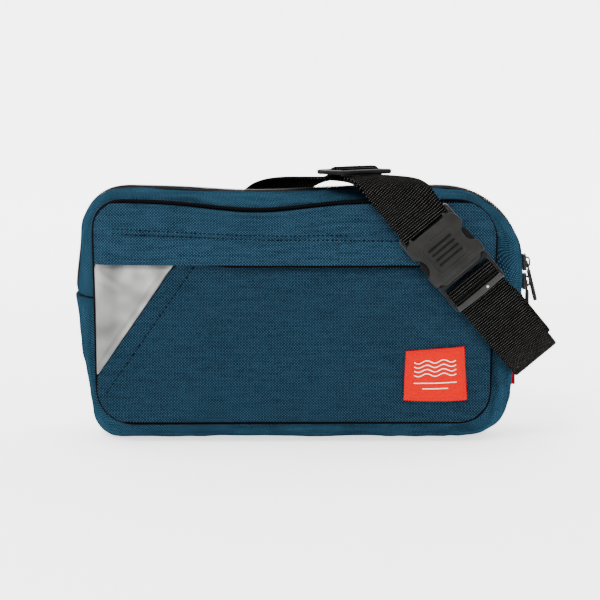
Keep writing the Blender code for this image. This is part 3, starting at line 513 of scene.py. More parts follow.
def stitches(name, paths, outward, mat, length=2.3, gap=0.75, radius=0.26, sink=0.12, jitter=0.12):
    """Rows of thread dashes lying on the cloth."""
    verts, faces, uvs = [], [], []
    rng = np.random.default_rng(len(name) * 17 + 3)
    for path in paths:
        P, s = resample(path, 0.25)
        at = 0.0
        total = s[-1]
        while at + length <= total + 0.01:
            a, b = at, min(total, at + length)
            pts = []
            for k in range(6):
                f = k / 5
                q = a + (b - a) * f
                p = np.array([np.interp(q, s, P[:, i]) for i in range(3)])
                o = np.asarray(outward(p) if callable(outward) else outward, float)
                o = o / np.linalg.norm(o)
                dip = sink + radius * 1.3 * (abs(2 * f - 1) ** 3)
                pts.append((p + o * (radius * 0.75 - dip), o))
            t = pts[-1][0] - pts[0][0]
            t = t / np.linalg.norm(t)
            base = len(verts)
            side_shift = rng.normal(0, jitter * 0.3)
            for k, (p, o) in enumerate(pts):
                side = np.cross(t, o)
                r = radius * (0.62 if k in (0, 5) else 1.0)
                p = p + side * side_shift
                for m in range(6):
                    c, d = math.cos(m * math.pi / 3), math.sin(m * math.pi / 3)
                    verts.append(p + side * r * c + o * r * d * 0.8)
                    uvs.append((k, m))
            for k in range(5):
                for m in range(6):
                    i, j = base + k * 6 + m, base + k * 6 + (m + 1) % 6
                    faces.append((i, i + 6, j + 6, j))
            faces.append(tuple(base + m for m in range(6)))
            faces.append(tuple(base + 30 + m for m in range(6))[::-1])
            at += length + gap + rng.normal(0, 0.04)
    return mesh(name, verts, faces, mat, uvs)


def bezier_fill(name, loops, half, bevel, matrix, mat, steps=2, shift=0.0):
    """Closed outlines filled and thickened to +-half with rounded edges."""
    cu = bpy.data.curves.new(name + "_outline", "CURVE")
    cu.dimensions = "2D"
    cu.fill_mode = "BOTH"
    cu.extrude = max(0.0, half - bevel) * MM
    cu.bevel_depth = bevel * MM
    cu.bevel_resolution = steps
    cu.offset = -bevel * MM
    for loop in loops:
        sp = cu.splines.new("POLY")
        sp.points.add(len(loop) - 1)
        for k, (x, y) in enumerate(loop):
            sp.points[k].co = (x * MM, y * MM, 0.0, 1.0)
        sp.use_cyclic_u = True
    temp = bpy.data.objects.new(name + "_temp", cu)
    bpy.context.scene.collection.objects.link(temp)
    dg = bpy.context.evaluated_depsgraph_get()
    me = bpy.data.meshes.new_from_object(temp.evaluated_get(dg))
    bpy.data.objects.remove(temp, do_unlink=True)
    bpy.data.curves.remove(cu)
    me.name = name
    me.transform(Matrix.Translation((0, 0, shift * MM)))
    me.transform(matrix)
    bm = bmesh.new()
    bm.from_mesh(me)
    bmesh.ops.remove_doubles(bm, verts=bm.verts, dist=0.00001)
    bmesh.ops.recalc_face_normals(bm, faces=bm.faces)
    for f in bm.faces:
        f.smooth = len(f.verts) <= 4 and f.calc_area() < 4e-5
    bm.to_mesh(me)
    bm.free()
    me.materials.clear()
    me.materials.append(mat)
    ob = bpy.data.objects.new(name, me)
    bpy.context.scene.collection.objects.link(ob)
    return ob


def join(name, *obs):
    """Several meshes as one object."""
    bm = bmesh.new()
    mats = []
    for o in obs:
        for m in o.data.materials:
            if m not in mats:
                mats.append(m)
    for o in obs:
        me = o.data.copy()
        me.transform(o.matrix_world)
        remap = [mats.index(m) for m in o.data.materials]
        first = len(bm.faces)
        bm.from_mesh(me)
        bm.faces.ensure_lookup_table()
        for f in bm.faces[first:]:
            f.material_index = remap[f.material_index] if remap else 0
        bpy.data.meshes.remove(me)
    out = bpy.data.meshes.new(name)
    bm.to_mesh(out)
    bm.free()
    for m in mats:
        out.materials.append(m)
    for o in obs:
        bpy.data.objects.remove(o, do_unlink=True)
    ob = bpy.data.objects.new(name, out)
    bpy.context.scene.collection.objects.link(ob)
    return ob


# ------------------------------------------------------------------- outlines
def rounded(corners, between):
    n = len(corners)
    ends = []
    for i, (x, z, r, k) in enumerate(corners):
        p = np.array((x, z), float)
        a = np.array(corners[i - 1][:2], float) - p
        b = np.array(corners[(i + 1) % n][:2], float) - p
        a /= np.linalg.norm(a)
        b /= np.linalg.norm(b)
        half = math.acos(max(-1.0, min(1.0, float(a @ b)))) / 2
        run = r / math.tan(half)
        centre = p + (a + b) / np.linalg.norm(a + b) * r / math.sin(half)
        u = p + a * run - centre
        v = p + b * run - centre
        sweep = math.atan2(u[0] * v[1] - u[1] * v[0], float(u @ v))
        arc = []
        for j in range(k):
            t = sweep * j / (k - 1)
            c, s = math.cos(t), math.sin(t)
            arc.append(centre + np.array((c * u[0] - s * u[1], s * u[0] + c * u[1])))
        ends.append(arc)
    points, middles = [], []
    for i, arc in enumerate(ends):
        middles.append(len(points) + len(arc) // 2)
        points += arc
        nxt = ends[(i + 1) % n][0]
        for j in range(between[i]):
            t = (j + 1) / (between[i] + 1)
            points.append(arc[-1] * (1 - t) + nxt * t)
    return np.array(points), middles


def sag(x):
    return np.exp(-(((x + 26.0) / 40.0) ** 2))


RUNS = (2, 13, 2, 2, 8, 2)
cx, cz = ZIP_C
SEAM, MID = rounded(
    [
        (112.3, 85.0, 260.0, 3), (115.3, 143.4, 24.0, 13), (-121.5, 143.0, 17.0, 9),
        (-120.6, 86.0, 1500.0, 3), (-119.8, 11.4, 21.0, 9), (110.8, 12.4, 18.0, 9),
    ],
    RUNS,
)
SEAM[SEAM[:, 1] > 136, 1] -= 5.5 * sag(SEAM[SEAM[:, 1] > 136, 0])
CREST, _ = rounded(
    [
        (cx + ZIP_R, 85.0, 80.0, 3), (cx + ZIP_R, cz + ZIP_R, ZIP_R, 13), (-127.5, cz + ZIP_R, 26.0, 9),
        (-135.3, 86.0, 80.0, 3), (-123.5, -2.0, 20.0, 9), (122.6, -2.0, 28.0, 9),
    ],
    RUNS,
)
CREST[CREST[:, 1] > 146, 1] -= 3.0 * sag(CREST[CREST[:, 1] > 146, 0])
NV = len(SEAM)
ORDER = [(MID[0] + k) % NV for k in range(NV)]
SEAM, CREST = SEAM[ORDER], CREST[ORDER]
I_LEFT = (MID[3] - MID[0]) % NV

# the same outlines at 1.5 mm steps, eased through their vertices
_c = np.vstack([CREST, CREST[:1]])
_s = np.vstack([SEAM, SEAM[:1]])
_d = np.concatenate([[0], np.cumsum(np.linalg.norm(np.diff(_c, axis=0), axis=1))])
M = int(_d[-1] / 1.5)
AT = np.arange(M) / M * _d[-1]
FC = np.stack([np.interp(AT, _d, _c[:, k]) for k in (0, 1)], axis=1)
FS = np.stack([np.interp(AT, _d, _s[:, k]) for k in (0, 1)], axis=1)
S_LEFT = _d[I_LEFT]
TOTAL = _d[-1]


def soften(A, passes):
    for _ in range(passes):
        A = (np.roll(A, 1, 0) + 2 * A + np.roll(A, -1, 0)) / 4
    return A


FC, FS = soften(FC, 6), soften(FS, 6)


def edge_plain(z, side, inset=0.0):
    """Left or right edge of the panel outline, before its top edge sags."""
    (xa, za, ra), (xm, zm), (xb, zb, rb) = {
        -1: ((-119.8, 11.4, 21.0), (-120.6, 86.0), (-121.5, 143.0, 17.0)),
        1: ((110.8, 12.4, 18.0), (112.3, 85.0), (115.3, 143.2, 24.0)),
    }[side]
    z = np.asarray(z, float)
    x = np.where(z < zm, xa + (xm - xa) * (z - za) / (zm - za), xm + (xb - xm) * (z - zm) / (zb - zm))
    x = x - side * inset
    for zc, r, up in ((za + inset, ra - inset, 1), (zb - inset, rb - inset, -1)):
        t = np.clip((z - zc) * up, 0.0, r)
        x = x - side * np.where((z - zc) * up < r, r - np.sqrt(np.maximum(0.0, r * r - (r - t) ** 2)), 0.0)
    return x


def crown(x, z):
    gx = np.maximum(0.0, 1 - np.abs((x + 3.0) / 117.0) ** 10)
    gz = np.maximum(0.0, 1 - np.abs((z - 78.0) / 66.0) ** 4)
    return gx * gz


def pocket_y(x, z):
    return POCKET_Y - CROWN * crown(x, z)


def yoke_y(x, z):
    return pocket_y(x, z) - LIP * ease((137.0 - z) / 16.0) * ease(np.minimum(x + 120.6, 113.6 - x) / 8.0 - 0.10)


def back_y(x, z):
    return 34.7 + 2.5 * crown(x, z)


def drop(x, z):
    top = 141.9
    return z - 5.5 * sag(x) * np.clip((z - 100.0) / (top - 100.0), 0.0, 1.0) ** 2


def fold_line(z):
    return -119.5 + (z - 39.8) * 46.7 / 67.2


# ---------------------------------------------------------------- the gussets
def shell(at, y, lift=0.0):
    """Points of the gusset: arrays of position round the crest (mm) and depth."""
    at, y = np.broadcast_arrays(np.asarray(at, float), np.asarray(y, float))
    i = at / TOTAL * M
    lo = np.floor(i).astype(int) % M
    f = (i - np.floor(i))[..., None]
    hi = (lo + 1) % M
    s = FS[lo] * (1 - f) + FS[hi] * f
    c = FC[lo] * (1 - f) + FC[hi] * f
    b = (1 - np.abs(y / SEAM_Y) ** CREST_POWER)[..., None]
    p = s * (1 - b) + c * b
    t = FC[(lo + 3) % M] - FC[(lo - 3) % M]
    t /= np.linalg.norm(t, axis=-1, keepdims=True)
    out = np.stack([t[..., 1], -t[..., 0]], axis=-1)
    p = p + out * np.asarray(lift, float)[..., None]
    return np.stack([p[..., 0], y, np.maximum(p[..., 1], 0.0)], axis=-1)


def from_middle(P):
    return np.stack([P[..., 0] * 0.6, P[..., 1], P[..., 2] - 76.0], axis=-1)


def gusset_lift(at, y, seed):
    """Puckers by the seams and soft folds between them."""
    d = SEAM_Y - np.abs(y)
    puck = field(at, y, 5.2, 30.0, seed) * np.exp(-((d / 6.5) ** 2)) * 0.95
    puck += field(at, y, 2.6, 30.0, seed + 3) * np.exp(-((d / 3.5) ** 2)) * 0.22
    soft = field(at, y, 40.0, 20.0, seed + 9) * 1.6 * np.clip(d / 8.0, 0, 1)
    cross = field(at, y, 12.0, 60.0, seed + 5) * 0.55 * np.clip(d / 5.0, 0, 1)
    # long folds along the height of both ends, and slanting drag lines in the lower corners
    i = (np.asarray(at, float) / TOTAL * M).astype(int) % M
    x, z = FC[i, 0], FC[i, 1]
    end = ease((np.abs(x) - 104.0) / 18.0)
    long = field(at, y, 34.0, 6.5, seed + 13) * 1.5 * end * np.clip(d / 4.0, 0, 1)
    slant = field(at + y * 0.9, y, 7.5, 30.0, seed + 17) * 1.0 * end * np.clip((75.0 - z) / 30.0, 0, 1) * np.clip(d / 5.0, 0, 1)
    return puck + soft + cross + long + slant - 0.25


def gusset(name, at, ys, seed, ground=False):
    A, Y = np.meshgrid(at, ys, indexing="ij")
    L = gusset_lift(A, Y, seed)
    # the cloth is pressed down beside the zip tape
    if not ground:
        L -= 0.5 * np.exp(-(((np.abs(Y) - 8.0) / 1.6) ** 2))
        L += 0.35 * np.exp(-(((np.abs(Y) - 10.6) / 1.8) ** 2))
    # no lift where it is sewn to the piping or stands on the ground
    L *= np.clip((SEAM_Y - np.abs(Y)) / 2.0 + 0.25, 0, 1)
    P = shell(A, Y, L)
    if ground:
        # a pleat near the right end of the front bottom edge
        q = (P[..., 0] - 94.0) + (Y + 30.0) * 0.25
        fold = np.exp(-((q / 2.6) ** 2)) * ease((-8.0 - Y) / 16.0)
        low = P[..., 2] < 40.0
        P[..., 2] += np.where(low, fold * 1.6, 0.0)
        P[..., 1] += np.where(low, fold * 0.9, 0.0)
    P[..., 2] = np.maximum(P[..., 2], 0.0)
    uv = np.stack([A, Y + seed * 40], axis=-1)
    return sheet(name, P, 1.2, M_GUSSET, from_middle, uv=uv)


TOP_AT = np.linspace(0.5, S_LEFT - 0.5, int(S_LEFT / 1.6))
LOW_AT = np.linspace(S_LEFT + 0.5, TOTAL - 0.5, int((TOTAL - S_LEFT) / 1.8))
for side, name in ((-1, "gusset_top_front"), (1, "gusset_top_rear")):
    ys = side * np.concatenate([[33.9, 33.2, SEAM_Y, 32.0, 31.2, 30.0], np.linspace(28.6, 9.6, 13), [8.6, 7.9, 7.4]])
    place(gusset(name, TOP_AT, ys, 2.0 + side, False), "pouch", "top_" + ("gusset_front" if side < 0 else "gusset_rear"))
ys = np.concatenate([[-33.9, -33.2, -SEAM_Y, -32.0, -31.0, -29.6], np.linspace(-28, 28, 29), [29.6, 31.0, 32.0, SEAM_Y, 33.2, 33.9]])
place(gusset("gusset_bottom", LOW_AT, ys, 7.0, True), "pouch", "bottom_gusset")


# -------------------------------------------------------------------- panels
FRONT = (0.0, -1.0, 0.0)
BACK = (0.0, 1.0, 0.0)
LOW_ROWS = np.array([0.0, 0.4, 1.0, 1.8, 2.9, 4.2, 5.8, 7.6, 9.6, 11.8, 14.2, 16.8, 19.5])
HIGH_ROWS = np.array([22.5, 19.0, 15.8, 12.8, 10.2, 7.8, 5.8, 4.0, 2.6, 1.4, 0.6, 0.0])


def columns(x0, x1, step=1.7):
    n = max(3, int(round((np.max(x1) - np.min(x0)) / step)))
    t = np.linspace(0, 1, n + 1)
    edge = np.array([0.0008, 0.0025, 0.005])
    return np.unique(np.concatenate([t, edge * 3, 1 - edge * 3]))


def panel_grid(zs, left, right, step=1.7):
    x0, x1 = left(zs), right(zs)
    t = columns(x0, x1, step)
    X = x0[:, None] + (x1 - x0)[:, None] * t[None, :]
    Z = np.broadcast_to(zs[:, None], X.shape)
    return X, Z


def side_left(i):
    return lambda z: edge_plain(z, -1, i)


def side_right(i):
    return lambda z: edge_plain(z, 1, i)


def edge_distance(X, Z, z0=None, z1=None):
    d = np.minimum(X - edge_plain(Z, -1, INSET), edge_plain(Z, 1, INSET) - X)
    if z0 is not None:
        d = np.minimum(d, Z - z0)
    if z1 is not None:
        d = np.minimum(d, z1 - Z)
    return np.maximum(d, 0.0)


PZ0, PZ1 = 12.4 + INSET, 141.6
mids = np.arange(PZ0 + 21.5, PZ1 - 23.5, 2.0)
zs = np.concatenate([PZ0 + LOW_ROWS, mids, PZ1 - HIGH_ROWS])
X, Z = panel_grid(zs, side_left(INSET), side_right(INSET), 4.0)
Zd = drop(X, Z)
P = np.stack([X, np.full(X.shape, -33.9), Zd], axis=-1)
place(sheet("front_wall", P, 1.0, M_LINING, FRONT, uv=np.stack([X, Z], axis=-1)), "pouch", "front_panel")

X, Z = panel_grid(zs, side_left(INSET), side_right(INSET), 2.2)
Zd = drop(X, Z)
d = edge_distance(X, Z, PZ0, PZ1)
ang = np.arctan2(Z - 78.0, X)
Y = back_y(X, Zd) + field(X, Z, 38.0, 26.0, 4.0) * 0.6 * np.clip(d / 12, 0, 1)
Y += field(X + Z * 0.3, Z - X * 0.3, 9.0, 9.0, 6.0) * 0.16 * np.clip(d / 5, 0, 1)
Y += field(ang * 90.0, d, 5.0, 40.0, 8.0) * np.exp(-((d / 6.0) ** 2)) * 0.4 * np.clip(d / 1.0, 0, 1)
# the slack webbing lies against the middle of this panel
Y = np.where((Z > 44) & (Z < 80), np.minimum(Y, back_y(X, Zd) + 0.1), Y)
P = np.stack([X, Y, Zd], axis=-1)
place(sheet("rear_cloth", P, 1.2, M_CLOTH, BACK, uv=np.stack([X, Z], axis=-1)), "pouch", "back_panel")


# ----------------------------------------------------------- the front pocket
POCKET_TOP = 111.0
LABEL = ((61.1, 55.5), (95.3, 58.2), (97.2, 26.5), (60.0, 26.2))


def pocket_relief(X, Z):
    """Extra fullness (+ is towards the front) of the pocket cloth."""
    d = edge_distance(X, Z, PZ0)
    ang = np.arctan2(Z - 70.0, X)
    out = field(ang * 90.0, d, 4.6, 60.0, 11.0) * np.exp(-((d / 6.5) ** 2)) * 0.42 * np.clip(d / 0.8, 0, 1)
    # broad unevenness of a lightly filled pocket
    out += field(X, Z, 60.0, 34.0, 13.0) * 0.75 * np.clip(d / 14.0, 0, 1)
    # fine creases that run mostly along the width
    w = field(X, Z, 40.0, 3.8, 15.0) * 0.34 + field(X + Z * 0.5, Z, 26.0, 7.0, 17.0) * 0.22
    out += w * np.clip(d / 6.0, 0, 1)
    # a slack fold from the flap's left end towards the lower middle
    q = (Z - 92.0) - (X + 60.0) * -0.42
    out += 0.45 * np.exp(-((q / 5.0) ** 2)) * np.exp(-(((X + 40.0) / 26.0) ** 2))
    # it dips where it runs in behind the flap
    out -= (0.7 + 1.3 * ease((X + 62.0) / 26.0)) * ease((Z - 100.5) / 5.0)
    # the cloth pulls in a little round the label
    lab = np.maximum(np.abs(X - 78.5) - 18.0, np.abs(Z - 41.0) - 15.5)
    out -= 0.35 * np.exp(-((np.maximum(lab, 0) / 5.0) ** 2)) * (lab > -1)
    return out


def fold_x(z):
    return fold_line(z)


def pocket_left(z):
    return np.maximum(edge_plain(z, -1, INSET), fold_line(z))


zs = np.concatenate([PZ0 + LOW_ROWS, np.arange(PZ0 + 21.3, POCKET_TOP - 0.5, 1.7), [POCKET_TOP]])
x0, x1 = pocket_left(zs), side_right(INSET)(zs)
t = np.unique(np.concatenate([np.linspace(0, 1, 141), [0.0012, 0.003, 0.0055, 0.009, 0.013, 0.985, 0.991, 0.996]]))
X = x0[:, None] + (x1 - x0)[:, None] * t[None, :]
Z = np.broadcast_to(zs[:, None], X.shape).copy()
out = pocket_relief(X, Z)
# rolled edge along the slanting fold, with a soft ridge behind it
from_fold = (X - fold_line(Z)) * 0.821
near = fold_line(Z) > edge_plain(Z, -1, INSET) - 1.0
ridge = 1.15 * np.exp(-(((from_fold - 2.2) / 2.0) ** 2)) - 0.5 * np.exp(-(((from_fold - 7.6) / 1.4) ** 2))
ridge += 0.3 * field(from_fold, Z, 9.0, 4.0, 21.0) * np.exp(-((from_fold / 6.0) ** 2))
out += np.where(near, ridge, 0.0) * np.clip(edge_distance(X, Z, PZ0) / 4.0, 0, 1)
round_in = np.where(near, 1.0 * np.clip(1 - from_fold / 1.0, 0, 1) ** 2, 0.0)
# dark seam line down in the cloth where the rolled edge is sewn
Y = pocket_y(X, Z) - out + round_in
P = np.stack([X, Y, Z], axis=-1)
place(sheet("pocket_cloth", P, 0.8, M_CLOTH, FRONT, uv=np.stack([X, Z], axis=-1)), "pouch", "pocket_panel")


def pocket_surface(x, z):
    """Front surface height of the pocket, for pieces that lie on it."""
    x, z = np.asarray(x, float), np.asarray(z, float)
    fold = (x - fold_line(z)) * 0.821
    extra = 1.15 * np.exp(-(((fold - 2.2) / 2.0) ** 2)) - 0.5 * np.exp(-(((fold - 7.6) / 1.4) ** 2))
    near_ = fold_line(z) > edge_plain(z, -1, INSET) - 1.0
    return pocket_y(x, z) - pocket_relief(x, z) - np.where(near_, extra, 0.0) * np.clip(edge_distance(x, z, PZ0) / 4, 0, 1)


# the reflective corner, tucked under the rolled edge
zs = np.concatenate([[41.2], np.arange(42.0, 111.1, 1.4)])
x0 = edge_plain(zs, -1, INSET)
x1 = np.maximum(fold_line(zs) - 0.35, x0 + 0.6)
t = np.linspace(0, 1, 34)
X = x0[:, None] + (x1 - x0)[:, None] * t[None, :]
Z = np.broadcast_to(zs[:, None], X.shape).copy()
top = 105.0 - Z
d = np.maximum(X - edge_plain(Z, -1, INSET), 0)
out = field(X, top, 4.2, 16.0, 31.0) * np.exp(-((np.maximum(top, 0) / 7.0) ** 2)) * 1.15
out += field(X, Z, 15.0, 20.0, 33.0) * 1.5 * np.clip(d / 6, 0, 1)
out += field(d, Z, 20.0, 5.0, 35.0) * np.exp(-((d / 5.0) ** 2)) * 0.3 * np.clip(d / 0.8, 0, 1)
# a small triangular crease in the upper left corner
for px, pz, qx, qz, amp in ((-117.0, 101.0, -104.0, 92.0, 0.7), (-117.5, 96.0, -108.0, 90.5, -0.5), (-96.0, 104.0, -101.0, 88.0, 0.45)):
    ex, ez = qx - px, qz - pz
    L2 = ex * ex + ez * ez
    k = np.clip(((X - px) * ex + (Z - pz) * ez) / L2, 0, 1)
    dist = np.hypot(X - px - k * ex, Z - pz - k * ez)
    out += amp * np.exp(-((dist / 1.3) ** 2)) * (1 - 0.6 * k)
out -= 0.9 * ease((Z - 103.2) / 2.4)
# a narrow turned edge shows beside the rolled fold
g = (fold_line(Z) - X) * 0.821
out += 0.5 * ease(1 - np.abs(g - 2.6) / 2.4)
P = np.stack([X, pocket_y(X, Z) + 0.4 - out, Z], axis=-1)
place(sheet("reflective_corner", P, 0.5, M_REFLECT, FRONT, uv=np.stack([X, Z], axis=-1)), "pouch", "reflective_patch")


# -------------------------------------------------------- yoke and storm flap
FLAP_LOW = 105.8


def yoke_relief(X, Z):
    d = np.minimum(edge_distance(X, Z), np.maximum(PZ1 - Z, 0))
    out = field(X, d, 5.0, 40.0, 41.0) * np.exp(-((d / 5.0) ** 2)) * 0.38 * np.clip(d / 0.8, 0, 1)
    out += field(X, Z, 52.0, 14.0, 43.0) * 0.5 * np.clip(d / 8, 0, 1)
    out += field(X, drop(X, Z), 34.0, 3.2, 45.0) * 0.50 * np.clip(d / 3, 0, 1)
    out += field(X, drop(X, Z), 60.0, 6.5, 46.0) * 0.55 * np.clip(d / 3, 0, 1)
    # creases pulled in at the left end
    left = np.exp(-(((X + 108.0) / 15.0) ** 2))
    for zc, slope, w, amp in ((118.0, -0.22, 1.6, 0.75), (112.5, -0.12, 1.3, -0.55), (128.5, -0.30, 2.0, 0.6), (122.0, -0.2, 1.2, -0.4)):
        out += amp * np.exp(-(((Z - zc - slope * (X + 110.0)) / w) ** 2)) * left * np.clip(d / 2.0, 0, 1)
    # sewn rows pull the cloth in
    for zc in (stitch_z(X), stitch_z(X) - 2.7):
        out -= 0.42 * np.exp(-(((Z - zc) / 0.8) ** 2)) * (X < 50)
    out += 0.26 * field(X, Z, 2.6, 9.0, 47.0) * np.exp(-(((Z - stitch_z(X) + 1.3) / 3.4) ** 2))
    # the lip stands off a little in the middle
    lip = ease((118.0 - Z) / 12.0) * ease((X + 50.0) / 20.0) * ease((50.0 - X) / 14.0)
    out += 1.25 * lip
    out += 0.25 * field(X, Z, 17.0, 60.0, 49.0) * ease((112.0 - Z) / 6.0)
    return out


def stitch_z(X):
    return np.interp(X, [-109.7, -81.8, -29.6, 48.8], [126.9, 125.6, 125.0, 122.6])


def yoke_surface(X, Z):
    """Front of the yoke for nominal X, Z (before the top edge sags)."""
    return yoke_y(X, drop(X, Z)) - yoke_relief(X, Z)


SPLIT_Z = 122.9
zs = np.concatenate([[SPLIT_Z + 0.25], np.arange(124.0, PZ1 - 5.0, 1.0), PZ1 - HIGH_ROWS[7:]])
X, Z = panel_grid(zs, side_left(INSET), side_right(INSET), 1.6)
P = np.stack([X, yoke_surface(X, Z), drop(X, Z)], axis=-1)
place(sheet("yoke_cloth", P, 1.0, M_YOKE_LIT, FRONT, uv=np.stack([X, Z + 300], axis=-1)), "pouch", "front_yoke")

# lower part: one continuous lip, sewn down at both ends, with a rolled hem
zr = np.concatenate([[SPLIT_Z + 0.2], np.arange(122.0, 108.0, -1.0), [107.4, 106.8, 106.3, 105.95, FLAP_LOW, 105.85, 106.1, 106.6]])
dy = np.concatenate([np.zeros(len(zr) - 6), [0.12, 0.4, 0.85, 1.25, 1.6, 1.75]])
for name, xa, xb in (("storm_flap_cloth", None, 22.0), ("storm_flap_cloth_right", 22.0, None)):
    x0 = edge_plain(zr, -1, INSET) if xa is None else np.full(len(zr), xa)
    x1 = edge_plain(zr, 1, INSET) if xb is None else np.full(len(zr), xb)
    n = int((x1[0] - x0[0]) / 1.4)
    t = np.linspace(0, 1, n + 1)
    X = x0[:, None] + (x1 - x0)[:, None] * t[None, :]
    Z = np.broadcast_to(zr[:, None], X.shape)
    Zs = np.maximum(Z, FLAP_LOW + 0.5)
    Y = yoke_y(X, drop(X, Zs)) - yoke_relief(X, Zs) + dy[:, None]
    P = np.stack([X, Y, drop(X, Z)], axis=-1)
    ob = sheet(name, P, 0.9, M_YOKE_LIT, FRONT, uv=np.stack([X, Z + 300], axis=-1))
    if xa is None:
        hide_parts("storm_flap")
        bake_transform(ob)
    else:
        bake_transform(ob)


# -------------------------------------------------------------- the main zip
ZIP_AT = np.linspace(2.0, S_LEFT - 2.0, int(S_LEFT / 2.0))
for side, name in ((-1, "main_tape_front"), (1, "main_tape_rear")):
    ys = side * np.array([8.0, 7.2, 6.6, 5.6, 4.6, 3.8, 3.2, 2.7, 2.2, 1.8, 1.4, 0.9, 0.06])
    A, Y = np.meshgrid(ZIP_AT, ys, indexing="ij")
    L = -0.4 + 0.28 * np.exp(-(((np.abs(Y) - 3.2) / 0.45) ** 2)) + field(A, Y, 30.0, 30.0, 51.0) * 0.25 - 0.75 * ease((1.9 - np.abs(Y)) / 1.0) - 0.5 * ease((np.abs(Y) - 6.8) / 1.0)
    ob = sheet(name, shell(A, Y, L), 0.6, M_TAPE, from_middle, uv=np.stack([Y, A], axis=-1))
    place(ob, "pouch", "main_zip_tape_" + ("front" if side < 0 else "rear"))


def teeth(name, points, across, out, pitch, half, height, radius, mat):
    """Interlocked coil elements along points; across and out give directions."""
    verts, faces, uvs = [], [], []
    P, s = resample(points, pitch / 2)
    for i in range(len(P)):
        side = 1 if i % 2 else -1
        p = P[i]
        a, o = across(p), out(p, i, P)
        t = np.cross(a, o)
        line = []
        for k in range(7):
            f = k / 6
            y = side * (half * (1 - f) - 0.32 * half * f)
            h = height * math.sin(math.pi * (0.12 + 0.76 * f)) ** 0.7
            line.append(p + a * y + o * h)
        base = len(verts)
        for k, q in enumerate(line):
            for m in range(5):
                c, d = math.cos(m * 1.2566), math.sin(m * 1.2566)
                # oval wire lying along the chain
                verts.append(q + t * radius * c + o * radius * 0.9 * d)
                uvs.append((k, m))
        for k in range(6):
            for m in range(5):
                x, y_ = base + k * 5 + m, base + k * 5 + (m + 1) % 5
                faces.append((x, x + 5, y_ + 5, y_))
        faces.append(tuple(base + m for m in range(5)))
        faces.append(tuple(base + 30 + m for m in range(5))[::-1])
    return mesh(name, verts, faces, mat, uvs)


def crest_out(p):
    """Outward direction of the crest nearest to a point on it."""
    i = int(np.argmin(np.hypot(FC[:, 0] - p[0], FC[:, 1] - p[2])))
    t = FC[(i + 3) % M] - FC[(i - 3) % M]
    t /= np.linalg.norm(t)
    return np.array((t[1], 0.0, -t[0]))


line = shell(np.linspace(4.0, S_LEFT - 4.0, 500), 0.0, -0.35)
ob = teeth("main_coil", line, lambda p: np.array((0.0, 1.0, 0.0)), lambda p, i, P: crest_out(p), 1.55, 2.1, 0.85, 0.36, M_COIL)
place(ob, "pouch", "main_zip_coil")

# chain stitching beside the tapes
rows = []
for side in (-1, 1):
    for y in (8.9,):
        at = np.linspace(2.0, S_LEFT - 2.0, 420)
        yy = np.full(at.shape, side * y)
        L = gusset_lift(at, yy, 2.0 + side) - 0.5 * np.exp(-(((y - 8.0) / 1.6) ** 2)) + 0.35 * np.exp(-(((y - 10.6) / 1.8) ** 2))
        rows.append(shell(at, yy, L))
place(stitches("zip_stitches", rows, crest_out, M_THREAD, 2.6, 0.8, 0.24), "pouch", slot="top_gusset_front")

# piping round both faces
for side, name in ((-1, "front_piping"), (1, "back_piping")):
    at = np.arange(0, TOTAL, 1.2)
    i = (at / TOTAL * M)
    xz = np.stack([np.interp(i, np.arange(M + 1), np.append(FS[:, k], FS[0, k])) for k in (0, 1)], axis=1)
    top = ease((xz[:, 1] - 128.0) / 8.0)
    wob = field(at, at * 0, 5.0, 1.0, 61.0 + side)
    thick = top * ease((66.0 - xz[:, 0]) / 10.0)
    rad = 0.74 + 0.46 * thick + 0.12 * wob + 0.05 * field(at, at * 0, 2.0, 1.0, 63.0)
    yy = side * (PIPE_Y + 0.12 * field(at, at * 0, 6.0, 1.0, 65.0))
    ob = rope(name + "_cord", np.stack([xz[:, 0], yy, xz[:, 1]], axis=1), rad, M_PIPE, around=10, closed=True)
    place(ob, "pouch", name)

# seam line where the upper and lower gusset meet at the side
for at, name in ((S_LEFT, "side_seam_left"), (TOTAL, "side_seam_right")):
    ys = np.concatenate([np.linspace(-31.4, -8.0, 16), np.linspace(-7.0, 7.0, 7), np.linspace(8.0, 31.4, 16)])
    rim = shell(np.full(ys.shape, at if at < TOTAL else 0.0), ys, -0.25)
    ob = rope(name, rim, 0.55, M_PIPE, around=6, up=(1, 0, 0))
    place(ob, "pouch", slot="bottom_gusset")


# ------------------------------------------------------------ the pocket zip
PZIP_Z = 115.0


def pzip_y(x):
    return pocket_y(np.asarray(x, float), PZIP_Z) + 2.9


xs = np.linspace(-96.0, 92.0, 118)
zs = np.linspace(116.2, 121.4, 8)
X, Z = np.meshgrid(xs, zs)
Y = pzip_y(X) - 0.3 - 0.2 * np.exp(-(((Z - 117.0) / 0.4) ** 2))
place(sheet("pocket_tape_upper", np.stack([X, Y, Z], axis=-1), 0.5, M_TAPE, FRONT, uv=np.stack([Z, X], axis=-1)), "pouch", "pocket_zip_tape_upper")
